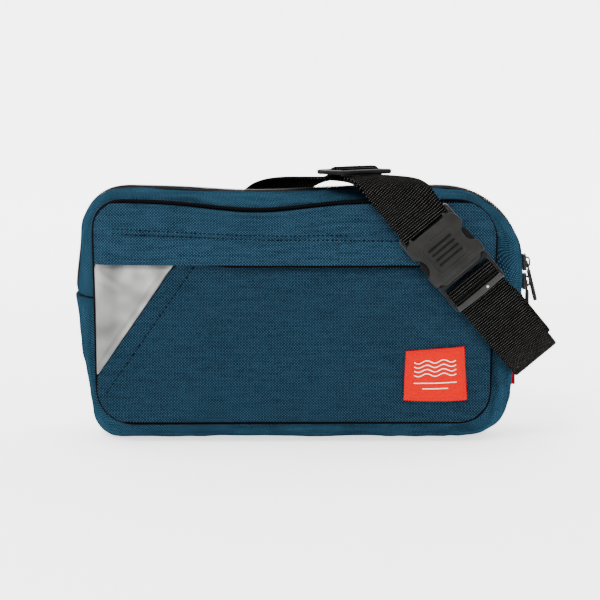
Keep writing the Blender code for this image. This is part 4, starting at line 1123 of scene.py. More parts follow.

# the lower tape also binds the pocket's top edge and peeps out below the lip; its black strip reaches lower in the
# middle and stands in for the shade under the lip
zlow = 106.6 - 2.3 * ease((xs + 66.0) / 26.0) * ease((92.0 - xs) / 20.0) + 0.25 * field(xs, xs * 0, 14.0, 1.0, 55.0)
V = np.linspace(0, 1, 22)[:, None]
Z = zlow[None, :] + (113.8 - zlow[None, :]) * V
X = np.broadcast_to(xs[None, :], Z.shape)
on_cloth = pocket_surface(X, np.minimum(Z, 111.0)) - 0.38
k = ease((Z - 109.5) / 2.5)
Y = on_cloth * (1 - k) + (pzip_y(X) - 0.3) * k
place(sheet("pocket_tape_lower", np.stack([X, Y, Z], axis=-1), 0.35, M_TAPE, FRONT, uv=np.stack([Z, X], axis=-1)), "pouch", "pocket_zip_tape_lower")
xs = np.linspace(-94.5, 90.5, 200)
ob = teeth(
    "pocket_coil", np.stack([xs, pzip_y(xs) + 0.1, np.full(xs.shape, PZIP_Z)], axis=1),
    lambda p: np.array((0.0, 0.0, 1.0)), lambda p, i, P: np.array((0.0, -1.0, 0.0)), 1.4, 1.35, 0.6, 0.33, M_COIL,
)
place(ob, "pouch", "pocket_zip_coil")


# ------------------------------------------------------------------ stitching
xs = np.linspace(-109.7, 60.0, 400)
up_rows, low_rows = [], []
for k in (0.0, -2.7):
    Z = stitch_z(xs) + k
    P = np.stack([xs, yoke_surface(xs, Z), drop(xs, Z)], axis=1)
    for a, b in zip(range(0, len(xs) - 1, 1), range(1, len(xs))):
        pass
    above = Z > SPLIT_Z + 0.3
    (up_rows if k == 0.0 else low_rows).append(P[above] if k == 0.0 else P)
place(stitches("yoke_stitches", up_rows, FRONT, M_THREAD, 1.9, 0.75, 0.33), "pouch", slot="front_yoke")
place(stitches("flap_stitches", low_rows, FRONT, M_THREAD, 1.9, 0.75, 0.33), "pouch", slot="front_yoke")

k = np.linspace(0, 1, 200)
zz = 104.8 + (27.5 - 104.8) * k
xx = fold_line(zz) + 10.0 / 0.821
ok = xx > edge_plain(zz, -1, INSET) + 2.0
P = np.stack([xx, pocket_surface(xx, zz), zz], axis=1)[ok]
place(stitches("pocket_diagonal_stitches", [P], FRONT, M_THREAD, 2.2, 0.9, 0.32), "pouch", slot="pocket_panel")


# -------------------------------------------------------------------- labels
def label_point(u, v, lift=0.0):
    """u across 0..1, v down 0..1, on the sewn label."""
    u, v = np.asarray(u, float), np.asarray(v, float)
    tl, tr, br, bl = (np.array(q) for q in LABEL)
    x = (tl[0] * (1 - u) + tr[0] * u) * (1 - v) + (bl[0] * (1 - u) + br[0] * u) * v
    z = (tl[1] * (1 - u) + tr[1] * u) * (1 - v) + (bl[1] * (1 - u) + br[1] * u) * v
    z = z - 0.8 * v * np.sin(np.pi * u)
    rim = np.minimum(np.minimum(u, 1 - u), np.minimum(v, 1 - v))
    y = pocket_y(x, z) - 1.25 - lift
    y = y - 0.45 * ease(rim / 0.10) - 0.22 * field(x, z, 13.0, 11.0, 71.0)
    # the lower right corner stands up a little
    y = y - 0.5 * ease((u + v - 1.6) / 0.4)
    return np.stack([x, y, z], axis=-1)


U, V = np.meshgrid(np.linspace(0, 1, 46), np.linspace(0, 1, 40))
place(sheet("label_cloth", label_point(U, V), 0.55, M_LABEL, FRONT), "pouch", "red_label")

i0, i1 = 0.045, 0.955
ring = [(u, i0) for u in np.linspace(i0, i1, 60)] + [(i1, v) for v in np.linspace(i0, i1, 50)][1:]
ring += [(u, i1) for u in np.linspace(i1, i0, 60)][1:] + [(i0, v) for v in np.linspace(i1, i0, 50)][1:]
path = np.array([label_point(u, v) for u, v in ring])
place(stitches("label_border_stitches", [path], FRONT, M_THREAD_L, 1.35, 0.55, 0.20), "pouch", slot="red_label")


def ribbon_lines(name, curves, width, mat):
    """Thin woven lines on the label: flat strips just above it."""
    parts = []
    for n, pts in enumerate(curves):
        pts = np.asarray(pts, float)
        g = np.gradient(pts, axis=0)
        g /= np.linalg.norm(g, axis=1, keepdims=True)
        side = np.stack([-g[:, 1], g[:, 0]], axis=1)
        scale = np.array([1 / 36.0, 1 / 30.0])
        a, b = pts * scale + side * scale * width / 2, pts * scale - side * scale * width / 2
        P = np.stack([label_point(a[:, 0], a[:, 1], 0.10), label_point(b[:, 0], b[:, 1], 0.10)], axis=0)
        parts.append(sheet(f"{name}_{n}", P, 0.16, mat, FRONT))
    return join(name, *parts)


curves = []
for row in range(4):
    x = np.linspace(5.5, 30.5, 70)
    curves.append(np.stack([x, 7.2 + row * 2.5 + 0.8 * np.sin((x - 5.5) * math.pi / 5.0)], axis=1))
curves.append(np.stack([np.linspace(5.5, 30.5, 20), np.full(20, 19.4)], axis=1))
curves.append(np.stack([np.linspace(10.5, 25.5, 20), np.full(20, 22.6)], axis=1))
place(ribbon_lines("label_lines", curves, 0.5, M_MARK), "pouch", slot="red_label")

X, Z = np.meshgrid(np.linspace(112.4, 133.4, 26), np.linspace(24.0, 35.0, 14))
Y = 34.4 + 0.35 * np.sin((X - 112.3) / 6.0) + 0.3 * ease((X - 124.0) / 7.0) * np.sin(Z / 4.0)
place(sheet("flag_cloth", np.stack([X, Y, Z], axis=-1), 0.8, M_FLAG, BACK, middle=True), "pouch", "side_flag_label")


# --------------------------------------------------------------------- straps
D3 = np.array((ALONG[0], 0.0, ALONG[1]))
D3 /= np.linalg.norm(D3)
W3 = np.array((ACROSS[0], 0.0, ACROSS[1]))
W3 /= np.linalg.norm(W3)


def frame_matrix(u, v, origin):
    u, v = Vector(u).normalized(), Vector(v).normalized()
    w = u.cross(v)
    m = Matrix((u, v, w)).transposed().to_4x4()
    m.translation = Vector(origin) * MM
    return m


BUCKLE_M = frame_matrix(D3, W3, BUCKLE)


def buckle_point(s, t, n):
    return np.array(BUCKLE) + D3 * s + W3 * t + np.array((0.0, -1.0, 0.0)) * n


def spline(points, per):
    p = [np.array(q, float) for q in points]
    p = [2 * p[0] - p[1]] + p + [2 * p[-1] - p[-2]]
    out = []
    for i in range(1, len(p) - 2):
        for j in range(per):
            t = j / per
            out.append(
                0.5
                * (
                    2 * p[i]
                    + (p[i + 1] - p[i - 1]) * t
                    + (2 * p[i - 1] - 5 * p[i] + 4 * p[i + 1] - p[i + 2]) * t * t
                    + (3 * p[i] - p[i - 1] - 3 * p[i + 1] + p[i + 2]) * t ** 3
                )
            )
    out.append(p[-2])
    return np.array(out)


COLS = np.array([-15.5, -15.25, -14.8, -14.0, -12.0, -9.0, -5.0, 0.0, 5.0, 9.0, 12.0, 14.0, 14.8, 15.25, 15.5])
RIM = np.array([0.30, 0.66, 0.90, 1.0, 1, 1, 1, 1, 1, 1, 1, 1.0, 0.90, 0.66, 0.30])


def webbing(name, rows, mat=M_WEB, start=0.0, seed=0.0, wave=0.10):
    """Belt webbing through rows of points across its width."""
    P = np.asarray(rows, float)
    mid = P[:, P.shape[1] // 2]
    s = np.concatenate([[0], np.cumsum(np.linalg.norm(np.diff(mid, axis=0), axis=1))]) + start
    S, T = np.meshgrid(s, COLS, indexing="ij")
    n = normals_of(P)
    P = P + n * (field(S, T, 26.0, 22.0, seed) * wave)[..., None]
    # the woven edge is a touch uneven
    side = P[:, -1:] - P[:, :1]
    side /= np.linalg.norm(side, axis=2, keepdims=True)
    w = np.clip((np.abs(T) - 13.5) / 2.0, 0, 1) * np.sign(T) * field(S, T, 3.2, 40.0, seed + 5) * 0.10
    P = P + side * w[..., None]
    up = np.broadcast_to(n.mean(axis=(0, 1)), P.shape)
    return sheet(name, P, WEB_T, mat, lambda Q: np.asarray(n), uv=np.stack([S, T], axis=-1), middle=True, edge=RIM)


def strap_sn(path, per):
    return [[buckle_point(q[0], t, q[1]) for t in COLS] for q in spline(path, per)]


SPLIT = 110.3
front_path = [
    (SPLIT, -44.2), (110.0, -37.0), (109.2, -30.0), (106.4, -21.5), (101.0, -12.5), (93.5, -6.4), (84.0, -3.6),
    (72.0, -2.8), (60.0, -2.5), (53.0, -2.45), (50.6, -2.35), (49.0, -1.2), (47.8, 0.7), (46.3, 2.1),
    (44.1, 2.45), (42.3, 1.7), (41.6, -0.4), (41.6, -2.6), (42.8, -4.2), (46.0, -4.55),
]
tail_path = [(46.4, -4.56), (56.0, -4.65), (67.0, -5.3), (78.0, -6.2), (86.0, -7.4), (92.5, -9.5), (97.5, -12.9)]
rear_path = [
    (SPLIT, -44.4), (110.0, -54.0), (108.0, -64.0), (103.0, -73.0), (96.0, -80.0), (88.0, -83.6),
    (79.0, -84.6), (66.0, -84.7), (52.0, -84.7), (38.0, -84.7),
]
place(webbing("short_strap_front_web", strap_sn(front_path, 9), seed=81.0), "buckle_male", "short_strap_front")
tail = [[buckle_point(q[0], t + 1.9 * float(ease((q[0] - 54.0) / 16.0)), q[1]) for t in COLS] for q in spline(tail_path, 12)]
place(webbing("short_strap_tail_web", tail, seed=83.0, wave=0.05), "buckle_male", "short_strap_tail")
ob = webbing("short_strap_rear_web", strap_sn(rear_path, 9), seed=85.0)
place(ob, None, "short_strap_rear")
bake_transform(ob)

PROFILE = spline(
    [
        (-42.8, 88.0), (-42.8, 108.0), (-42.8, 126.0), (-42.8, 137.0), (-42.7, 143.0), (-41.0, 148.6),
        (-36.6, 152.0), (-30.0, 153.4), (-20.0, 153.8), (-8.0, 153.8), (2.0, 153.6), (12.0, 153.1),
        (22.0, 151.8), (31.0, 149.4), (37.6, 145.4), (41.2, 139.0), (42.2, 130.0), (42.4, 120.0),
        (43.4, 108.0), (45.6, 96.0), (48.2, 86.5), (49.2, 79.0), (49.25, 70.0), (49.25, 50.0), (49.25, 34.0),
    ],
    8,
)
_h = np.concatenate([[0], np.cumsum(np.linalg.norm(np.diff(PROFILE, axis=0), axis=1))]) + 88.0
_py, _pz = PROFILE[:, 0], PROFILE[:, 1]


def wrap(s, t, n):
    a = BUCKLE[0] - ALONG[0] * s + ACROSS[0] * t
    h = BUCKLE[2] - ALONG[1] * s + ACROSS[1] * t
    y, z = float(np.interp(h, _h, _py)), float(np.interp(h, _h, _pz))
    y0, z0 = float(np.interp(h - 1.5, _h, _py)), float(np.interp(h - 1.5, _h, _pz))
    y1, z1 = float(np.interp(h + 1.5, _h, _py)), float(np.interp(h + 1.5, _h, _pz))
    d = math.hypot(y1 - y0, z1 - z0)
    ny, nz = -(z1 - z0) / d, (y1 - y0) / d
    return np.array((a, y + n * ny, z + n * nz))


TRI_S = 59.4
loop_path = [
    (63.5, 0.75), (50.0, 0.75), (34.0, 0.75), (20.0, 0.75), (8.0, 0.75), (1.0, 0.8), (-1.4, 0.9), (-2.9, 1.6),
    (-3.6, 3.2), (-2.9, 4.9), (-1.3, 5.6), (1.0, 5.6), (5.0, 5.1), (10.0, 4.1), (16.0, 3.0), (24.0, 2.6), (38.0, 2.6),
    (48.0, 2.6), (TRI_S - 7.4, 2.7), (TRI_S - 5.2, 4.9), (TRI_S - 2.8, 7.2), (TRI_S, 7.7), (TRI_S + 2.8, 7.2),
    (TRI_S + 5.2, 4.9), (TRI_S + 7.4, 2.6), (74.0, 1.0), (84.0, 0.75),
]
h_fold = float(np.interp(-62.0, -_pz[len(_pz) // 2:], _h[len(_pz) // 2:]))
S_FOLD = (h_fold - BUCKLE[2]) / -ALONG[1]
FOLD_X = BUCKLE[0] - ALONG[0] * S_FOLD
SKEW = 0.4663
rows = [[wrap(q[0], t, q[1]) for t in COLS] for q in spline(loop_path, 7)]
down = np.linspace(85.5, S_FOLD - 24.0, 76)
rows += [[wrap(s, t, 0.75) for t in COLS] for s in down]


def fold_point(t, layer_y, out=0.0):
    return np.array((FOLD_X + SKEW * t - 0.9063 * out, layer_y, 62.0 - t - 0.4226 * out))


for k in range(1, 17):
    f = k / 16
    rows.append([wrap(down[-1], t, 0.75) * (1 - f) + fold_point(t, 50.0, -0.3) * f for t in COLS])
place(webbing("long_strap_web", rows, seed=87.0, wave=0.08), "pouch", "long_strap")

LAYERS = (47.5, 45.0, 42.5, 40.0)
X_RIGHT, X_LEFT, R_TURN = 70.0, FOLD_X + 4.0, 1.25


def flat_row(x, y):
    return [np.array((x, y, 62.0 - t)) for t in COLS]


def turn(x, y, way):
    return [
        flat_row(x + way * R_TURN * math.sin(math.pi * k / 12), y - R_TURN + R_TURN * math.cos(math.pi * k / 12))
        for k in range(0, 13)
    ]


def run(a, b, y, step=3.0, ends=True):
    n = max(2, int(abs(b - a) / step))
    xs = np.linspace(a, b, n + 1)
    return [flat_row(x, y) for x in (xs[1:-1] if ends else xs)]


slack = []
for k in range(0, 13):
    p = math.pi * k / 12
    slack.append([fold_point(t, 48.75 + R_TURN * math.cos(p), R_TURN * math.sin(p)) for t in COLS])
first = flat_row(FOLD_X + 18.0, LAYERS[0])
last = slack[-1]
for k in range(1, 8):
    f = k / 8
    slack.append([a * (1 - f) + b * f for a, b in zip(last, first)])
slack += [first] + run(FOLD_X + 18.0, X_RIGHT, LAYERS[0])
slack += turn(X_RIGHT, LAYERS[0], 1)
slack += run(X_RIGHT, X_LEFT, LAYERS[1])
slack += turn(X_LEFT, LAYERS[1], -1)
slack += run(X_LEFT, X_RIGHT - 3.0, LAYERS[2])
slack += turn(X_RIGHT - 3.0, LAYERS[2], 1)
slack += run(X_RIGHT - 3.0, -74.0, LAYERS[3]) + [flat_row(-74.0, LAYERS[3])]
slack += [flat_row(q[0], q[1]) for q in spline([(-80.0, 40.0), (-88.0, 39.6), (-97.0, 38.9), (-106.0, 38.3), (-114.0, 37.9)], 6)]
place(webbing("long_strap_slack_web", slack, seed=89.0, wave=0.06), "pouch", "long_strap_slack")


# box-and-cross stitching where the webbing is sewn to the rear cloth
def box_cross(name, at, u0, u1, v0, v1, out, slot):
    loop = [(u0, v0), (u1, v0), (u1, v1), (u0, v1), (u0, v0)]
    paths = [[at(*a), at(*b)] for a, b in zip(loop, loop[1:])]
    paths += [[at(u0, v0), at(u1, v1)], [at(u0, v1), at(u1, v0)]]
    place(stitches(name, [np.array(p) for p in paths], out, M_THREAD_K, 2.4, 0.8, 0.30), "pouch", slot=slot)


def slack_end(u, v):
    y = np.interp(-u, [97.0, 106.0, 114.0], [38.9, 38.3, 37.9])
    return np.array((u, y + 0.78, 62.0 + v))


box_cross("slack_box_stitches", slack_end, -112.0, -99.0, -12.5, 12.5, BACK, "long_strap_slack")
box_cross("rear_box_stitches", lambda s, t: buckle_point(s, t, -84.7 - 0.78), 40.0, 52.0, -12.5, 12.5, BACK, "short_strap_rear")


def end_hem(name, at, body, slot, mat=M_WEB):
    """Turned and heat-sealed end: a narrow rolled bar across the webbing."""
    path = np.array([at(t) for t in np.linspace(-15.0, 15.0, 20)])
    rad = 0.95 + 0.08 * field(np.arange(20.0), np.zeros(20), 2.0, 1.0, 95.0)
    place(rope(name, path, rad, mat, around=8, up=(0, 1, 0)), body, slot=slot)


end_hem("tail_end_hem", lambda t: buckle_point(97.6, t + 1.9, -13.1), "buckle_male", "short_strap_tail", M_THREAD_K)
tail_rows = [np.array([buckle_point(s, t + 1.9, n + 0.95) for t in (-13.0, 13.0)]) for s, n in ((92.0, -9.3), (88.8, -8.2))]
place(stitches("tail_hem_stitches", tail_rows, FRONT, M_THREAD_K, 2.2, 0.7, 0.28), "buckle_male", slot="short_strap_tail")


# --------------------------------------------------------------- the hardware
def box_loop(x0, y0, x1, y1, r=0.0, k=5):
    if r <= 0:
        return [(x0, y0), (x1, y0), (x1, y1), (x0, y1)]
    out = []
    for px, py, a in ((x1 - r, y0 + r, -90), (x1 - r, y1 - r, 0), (x0 + r, y1 - r, 90), (x0 + r, y0 + r, 180)):
        for j in range(k + 1):
            t = math.radians(a + 90.0 * j / k)
            out.append((px + r * math.cos(t), py + r * math.sin(t)))
    return out


def mirror_loop(half):
    return half + [(s, -t) for s, t in reversed(half)]


def smooth_loop(points, per=4):
    """Closed outline eased through its points."""
    p = [np.array(q, float) for q in points]
    n = len(p)
    out = []
    for i in range(n):
        a, b, c, d = p[i - 1], p[i], p[(i + 1) % n], p[(i + 2) % n]
        for j in range(per):
            t = j / per
            q = 0.5 * (2 * b + (c - a) * t + (2 * a - 5 * b + 4 * c - d) * t * t + (3 * b - a - 3 * c + d) * t ** 3)
            out.append(tuple(q))
    return out


body_half = [
    (4.9, 11.0), (4.9, 14.2), (5.3, 15.9), (8.0, 17.4), (10.5, 18.1), (12.6, 18.3), (14.2, 17.8),
    (15.4, 16.2), (17.0, 14.9), (19.5, 14.1), (22.0, 14.1), (24.2, 14.8), (25.8, 16.2),
    (27.0, 17.7), (28.6, 18.3), (31.0, 18.3), (33.2, 18.2), (34.6, 17.2), (34.7, 15.0), (34.7, 11.0),
]
outline = smooth_loop(body_half, 3)[: len(body_half) * 3 - 3]
outline = mirror_loop(outline)
top = bezier_fill("female_top", [outline], 1.05, 0.85, BUCKLE_M, M_PLASTIC, 4, shift=2.98)
low = bezier_fill("female_low", [outline], 1.0, 0.7, BUCKLE_M, M_PLASTIC, 3, shift=-2.98)
root = bezier_fill("female_root", [box_loop(7.4, -15.9, 11.4, 15.9, 1.0)], 2.6, 0.3, BUCKLE_M, M_PLASTIC, 1)
rail = []
for sign in (1, -1):
    loop = [(-0.4, 16.2), (0.0, 17.0), (1.4, 17.7), (9.6, 17.9), (9.6, 15.9), (1.0, 15.8), (-0.2, 15.9)]
    rail.append(bezier_fill(f"female_rail_{sign}", [[(s, sign * t) for s, t in loop]], 2.5, 0.7, BUCKLE_M, M_PLASTIC, 3))
bar = bezier_fill("female_bar", [box_loop(0.2, -16.6, 2.4, 16.6, 0.5)], 1.15, 0.8, BUCKLE_M, M_PLASTIC, 3)
# shallow raised panel with plain grip ribs
panel = bezier_fill(
    "female_panel", [box_loop(11.0, -11.6, 30.5, 11.6, 3.2), box_loop(11.9, -10.7, 29.6, 10.7, 2.5)], 0.3, 0.24,
    BUCKLE_M, M_PLASTIC, 3, shift=4.12,
)
ribs = [
    bezier_fill(f"female_rib_{k}", [box_loop(s, -8.4, s + 1.5, 8.4, 0.7)], 0.34, 0.28, BUCKLE_M, M_PRONG_SHADED, 3, shift=4.22)
    for k, s in enumerate((14.6, 18.0, 21.4, 24.8))
]
low_panel = bezier_fill("female_low_panel", [box_loop(11.0, -11.6, 30.5, 11.6, 3.2)], 0.15, 0.1, BUCKLE_M, M_PLASTIC, 2, shift=-4.02)
lips = [
    bezier_fill(f"female_lip_{k}", [box_loop(32.2, -16.0, 34.2, 16.0, 0.8)], 0.35, 0.3, BUCKLE_M, M_PLASTIC, 2, shift=k * 4.0)
    for k in (1, -1)
]
place(join("buckle_socket", top, low, root, *rail, bar, panel, *ribs, low_panel, *lips), "pouch", "buckle_female")

frame_m = bezier_fill(
    "male_frame",
    [box_loop(35.1, -17.2, 49.8, 17.2, 1.4), box_loop(38.6, -15.8, 50.6, 15.8, 0.5)][:1] + [box_loop(38.6, -15.8, 49.0, 15.8, 0.8)],
    2.25, 0.75, BUCKLE_M, M_MALE, 3,
)
tongue = bezier_fill(
    "male_tongue",
    [[(29.2, -9.2), (36.6, -14.8), (36.6, 14.8), (29.2, 9.2), (29.0, 3.0), (14.0, 2.0), (13.6, 0.0), (14.0, -2.0), (29.0, -3.0)]],
    1.5, 0.35, BUCKLE_M, M_MALE, 2,
)
rails_m = [
    bezier_fill(f"male_rail_{k}", [[(s, k * t) for s, t in ((35.4, 15.8), (35.4, 17.0), (36.4, 17.5), (52.6, 17.3), (53.9, 16.4), (53.9, 15.8))]], 2.35, 0.6, BUCKLE_M, M_MALE, 3)
    for k in (1, -1)
]
cross = bezier_fill("male_cross", [box_loop(43.0, -16.3, 45.2, 16.3, 0.6)], 1.15, 0.8, BUCKLE_M, M_MALE, 3)
shoulder = bezier_fill("male_shoulder", [box_loop(35.3, -16.6, 38.7, 16.6, 1.0)], 2.6, 1.0, BUCKLE_M, M_MALE, 4)
# curved lower bar, coloured a shade lighter, with a small round dot of painted highlight
arc = [(50.9 - 0.9 * (1 - (t / 16.6) ** 2) * 0.0, t) for t in np.linspace(-16.6, 16.6, 17)]
arc += [(54.0 + 0.7 * (1 - (t / 16.6) ** 2), t) for t in np.linspace(16.6, -16.6, 17)]
lower = bezier_fill("male_lower", [arc], 1.35, 0.9, BUCKLE_M, M_BAR, 4, shift=1.1)
highlight_dot_loop = [(52.6 + 0.75 * math.cos(a), 5.4 + 0.75 * math.sin(a)) for a in np.linspace(0, 2 * math.pi, 17)[:-1]]
highlight_dot = bezier_fill("male_highlight_dot", [highlight_dot_loop], 0.3, 0.25, BUCKLE_M, M_HIGHLIGHT_DOT, 3, shift=2.5)
place(join("buckle_plug", frame_m, tongue, *rails_m, cross, shoulder, lower, highlight_dot), "buckle_male", "buckle_male")

for sign, name in ((1, "right"), (-1, "left")):
    half = [
        (33.0, 13.4), (33.0, 17.3), (28.0, 17.5), (26.4, 17.4), (24.0, 17.3), (21.0, 17.2), (18.0, 16.9),
        (16.4, 16.0), (15.9, 14.6), (16.8, 12.9), (20.0, 12.7), (24.0, 12.4), (28.0, 11.6), (30.2, 11.8), (32.2, 12.9),
    ]
    arm = bezier_fill(f"prong_arm_{name}", [[(s, sign * t) for s, t in half]], 1.5, 0.55, BUCKLE_M, M_PRONG_SHADED, 3)
    grips = [
        bezier_fill(f"prong_grip_{name}_{k}", [box_loop(s, sign * 16.6 if sign > 0 else -17.7, s + 0.7, 17.7 if sign > 0 else -16.6, 0.3, 2)], 1.2, 0.25, BUCKLE_M, M_PRONG_SHADED, 1)
        for k, s in enumerate((19.6, 21.4, 23.2))
    ]
    place(join(f"prong_{name}_arm", arm, *grips), f"prong_{name}", f"buckle_prong_{name}")

# tri-glide on top of the pouch
o = wrap(TRI_S, 0, 0)
e_s = wrap(TRI_S + 1, 0, 0) - wrap(TRI_S - 1, 0, 0)
e_t = wrap(TRI_S, 1, 0) - wrap(TRI_S, -1, 0)
e_s /= np.linalg.norm(e_s)
e_t /= np.linalg.norm(e_t)
e_n = np.cross(e_t, e_s)
if e_n[2] < 0:
    e_n = -e_n
TRI_M = frame_matrix(e_s, e_t, o + e_n * 5.15)
tri = bezier_fill(
    "tri_frame",
    [box_loop(-11.9, -20.4, 11.9, 20.4, 3.0), box_loop(1.3, -16.1, 9.0, 16.1, 1.2), box_loop(-9.0, -16.1, -1.3, 16.1, 1.2)],
    1.3, 0.95, TRI_M, M_TRI, 4,
)
edges = [
    bezier_fill(f"tri_edge_{k}", [box_loop(s, -18.6, s + 1.7, 18.6, 0.8)], 1.5, 0.8, TRI_M, M_TRI, 3)
    for k, s in enumerate((-11.4, 9.7))
]
place(join("tri_glide_body", tri, *edges), "tri_glide", "tri_glide")


# ---------------------------------------------------------- sliders and pulls
def slider(name, centre, normal, tangent, k, body, node):
    n, t = Vector(normal).normalized(), Vector(tangent).normalized()
    across = n.cross(t)
    m_shoe = frame_matrix(across, n, centre)
    shoe = [
        (-4.1, 0.15), (-4.3, 1.0), (-4.1, 1.8), (-3.4, 2.25), (3.4, 2.25), (4.1, 1.8), (4.3, 1.0), (4.1, 0.15),
        (3.3, 0.15), (3.3, 1.2), (-3.3, 1.2), (-3.3, 0.15),
    ]
    a = bezier_fill(name + "_shoe", [[(x * k, y * k) for x, y in shoe]], 4.75 * k, 0.28 * k, m_shoe, M_METAL, 2)
    # nose and tail taper of the top plate
    plan = frame_matrix(across, t, Vector(centre) + n * 2.25 * k)
    b = bezier_fill(
        name + "_plate",
        [[(x * k, y * k) for x, y in ((-3.9, -3.2), (-3.0, -5.0), (3.0, -5.0), (3.9, -3.2), (4.1, 1.0), (3.2, 4.4), (1.6, 5.1), (-1.6, 5.1), (-3.2, 4.4), (-4.1, 1.0))]],
        0.35 * k, 0.3 * k, plan, M_METAL, 3,
    )
    arch_m = frame_matrix(t, n, centre)
    arc = [(-3.4, 1.8), (-3.3, 3.6), (-2.9, 4.5), (-2.0, 5.1), (0.0, 5.3), (2.0, 5.1), (2.9, 4.5), (3.3, 3.6), (3.4, 1.8)]
    inner = [(2.3, 1.8), (2.3, 3.4), (1.9, 4.0), (1.4, 4.3), (0.0, 4.4), (-1.4, 4.3), (-1.9, 4.0), (-2.3, 3.4), (-2.3, 1.8)]
    c = bezier_fill(name + "_arch", [[(x * k, y * k) for x, y in arc + inner]], 0.85 * k, 0.3 * k, arch_m, M_METAL, 3)
    place(join(name, a, b, c), body, node)


def pull(name, pin, direction, length, jog, body, node):
    d = Vector(direction).normalized()
    y = Vector((0.0, 1.0, 0.0))
    w = y.cross(d)
    m = frame_matrix(y, d, pin)

    def at(a, b, c=0.0):
        return np.array(Vector(pin) + y * a + d * b + w * c)

    ring = [at(1.6 * math.cos(q) , 2.3 - 2.75 * math.sin(q) * -1, 0.0) for q in np.linspace(0, 2 * math.pi, 29)[:-1]]
    a = rope(name + "_ring", ring, 0.5, M_METAL, around=8, closed=True, up=tuple(w))
    low, high = min(-2.0, jog - 1.0), max(2.0, jog + 1.0)
    yoke = bezier_fill(name + "_yoke", [box_loop(low, 4.7, high, 6.5, 0.8)], 0.75, 0.45, m, M_METAL, 3)
    tab_loop = [
        (jog - 0.9, 5.6), (jog + 0.9, 5.6), (jog + 1.15, 8.0), (jog + 1.0, length * 0.5), (jog + 1.2, length - 3.0),
        (jog + 1.0, length - 0.8), (jog + 0.4, length), (jog - 0.4, length), (jog - 1.0, length - 0.8),
        (jog - 1.2, length - 3.0), (jog - 1.0, length * 0.5), (jog - 1.15, 8.0),
    ]
    tab = bezier_fill(name + "_tab", [tab_loop], 1.15, 0.7, m, M_PULL, 4)
    grips = [
        bezier_fill(f"{name}_grip_{k}", [box_loop(jog - 0.85, length - 4.0 - 1.5 * k, jog + 0.85, length - 3.3 - 1.5 * k, 0.3, 3)], 1.3, 0.2, m, M_PULL, 2)
        for k in range(5)
    ]
    place(join(name, a, yoke, tab, *grips), body, node)


UP_ANGLE = math.radians(3.3)
PIN_N = 3.2
up_n = (math.cos(UP_ANGLE), 0.0, math.sin(UP_ANGLE))
up_t = (-math.sin(UP_ANGLE), 0.0, math.cos(UP_ANGLE))
slider("slider_upper_body", (cx + ZIP_R * up_n[0], 0, cz + ZIP_R * up_n[2]), up_n, up_t, 1.0, "main_slider_upper", "main_zip_slider_upper")
UP_PIN = (cx + (ZIP_R + PIN_N) * up_n[0], 0, cz + (ZIP_R + PIN_N) * up_n[2])
pull("pull_upper_tab", UP_PIN, (5.9, 0, -23.8), 24.5, 3.3, "main_pull_upper", "main_zip_pull_upper")
LOW_Z = 92.4
slider("slider_lower_body", (cx + ZIP_R, 0, LOW_Z), (1, 0, 0), (0, 0, -1), 1.0, "main_slider_lower", "main_zip_slider_lower")
pull("pull_lower_tab", (cx + ZIP_R + PIN_N, 0, LOW_Z), (0, 0, -1), 22.0, -2.2, "main_pull_lower", "main_zip_pull_lower")
slider("pocket_slider_body", (74.0, float(pzip_y(0.0)) - 0.5, PZIP_Z), (0, -1, 0), (1, 0, 0), 0.65, "pocket_slider", "pocket_zip_slider")


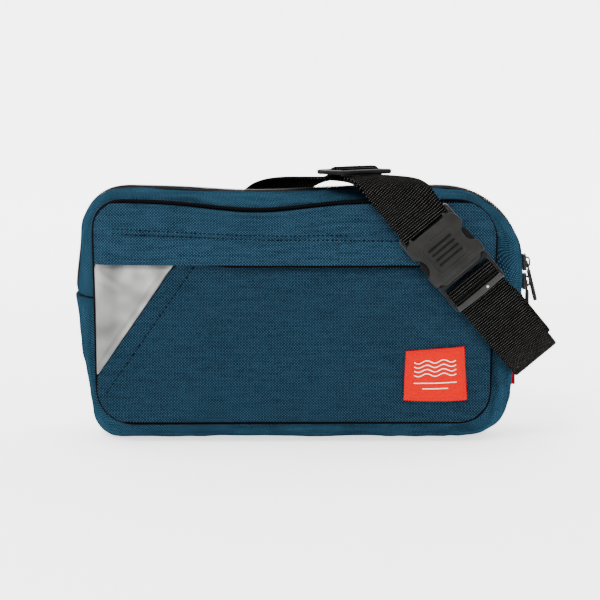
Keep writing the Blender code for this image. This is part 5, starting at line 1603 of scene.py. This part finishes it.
# ------------------------------------------------------------------- the set
def backdrop():
    """Pale floor that curves up behind."""
    verts, faces = [], []
    prof = [(-14.0, 0.0), (-1.0, 0.0), (0.0, 0.0), (1.6, 0.0), (2.2, 0.03), (2.7, 0.16), (3.1, 0.42), (3.35, 0.8), (3.45, 1.4), (3.5, 4.0)]
    for y, z in prof:
        for x in (-14.0, -1.5, 1.5, 14.0):
            verts.append((x / MM, y / MM, (z - 0.0002) / MM))
    for r in range(len(prof) - 1):
        for c in range(3):
            i = r * 4 + c
            faces.append((i, i + 1, i + 5, i + 4))
    g = Nodes("pale_floor")
    n = g.noise(g.obj(), 60.0, 3.0)
    colour = g.ramp(n, [(0.3, (0.93, 0.93, 0.93)), (0.7, (0.96, 0.96, 0.96))])
    m = g.done(colour, 0.85, g.bump(n, 0.03, 0.001))
    g.b.inputs["Emission Color"].default_value = (1.0, 1.0, 1.0, 1.0)
    g.b.inputs["Emission Strength"].default_value = 1.5
    ob = mesh("floor", verts, faces, m)
    ob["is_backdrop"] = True


backdrop()

world = bpy.data.worlds.new("studio")
bpy.context.scene.world = world
world.use_nodes = True
world.node_tree.nodes["Background"].inputs[0].default_value = (1.0, 1.0, 1.0, 1.0)
world.node_tree.nodes["Background"].inputs[1].default_value = 1.12


def area(name, where, aim, size, power, colour=(1.0, 1.0, 1.0)):
    data = bpy.data.lights.new(name, "AREA")
    data.shape = "RECTANGLE"
    data.size, data.size_y = size
    data.energy = power
    data.color = colour
    ob = bpy.data.objects.new(name, data)
    bpy.context.scene.collection.objects.link(ob)
    ob.location = where
    ob.rotation_euler = (Vector(aim) - Vector(where)).to_track_quat("-Z", "Y").to_euler()


area("key", (-0.7, -1.3, 1.7), (0, 0, 0.08), (1.0, 0.7), 54.0)
area("fill", (1.2, -1.6, 0.7), (0, 0, 0.08), (1.2, 1.2), 5.0)
area("top", (0.0, 0.2, 2.0), (0, 0, 0.1), (1.8, 1.2), 30.0)
area("back_left", (-1.6, 1.3, 1.6), (-0.6, 3.2, 0.6), (1.6, 1.6), 90.0)
area("back_right", (1.6, 1.3, 1.6), (0.6, 3.2, 0.6), (1.6, 1.6), 90.0)

cam = bpy.data.cameras.new("camera")
cam.lens = 114.49
cam.sensor_width = 36.0
cam.shift_x = -1 / 600
cam.shift_y = 8 / 600
cam.clip_start = 0.05
camera = bpy.data.objects.new("camera", cam)
bpy.context.scene.collection.objects.link(camera)
el = math.radians(7.0)
target = Vector((0.0, 0.0, 0.076))
camera.location = target + 1.15 * Vector((0.0, -math.cos(el), math.sin(el)))
camera.rotation_euler = (target - camera.location).to_track_quat("-Z", "Y").to_euler()
bpy.context.scene.camera = camera

low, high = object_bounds()
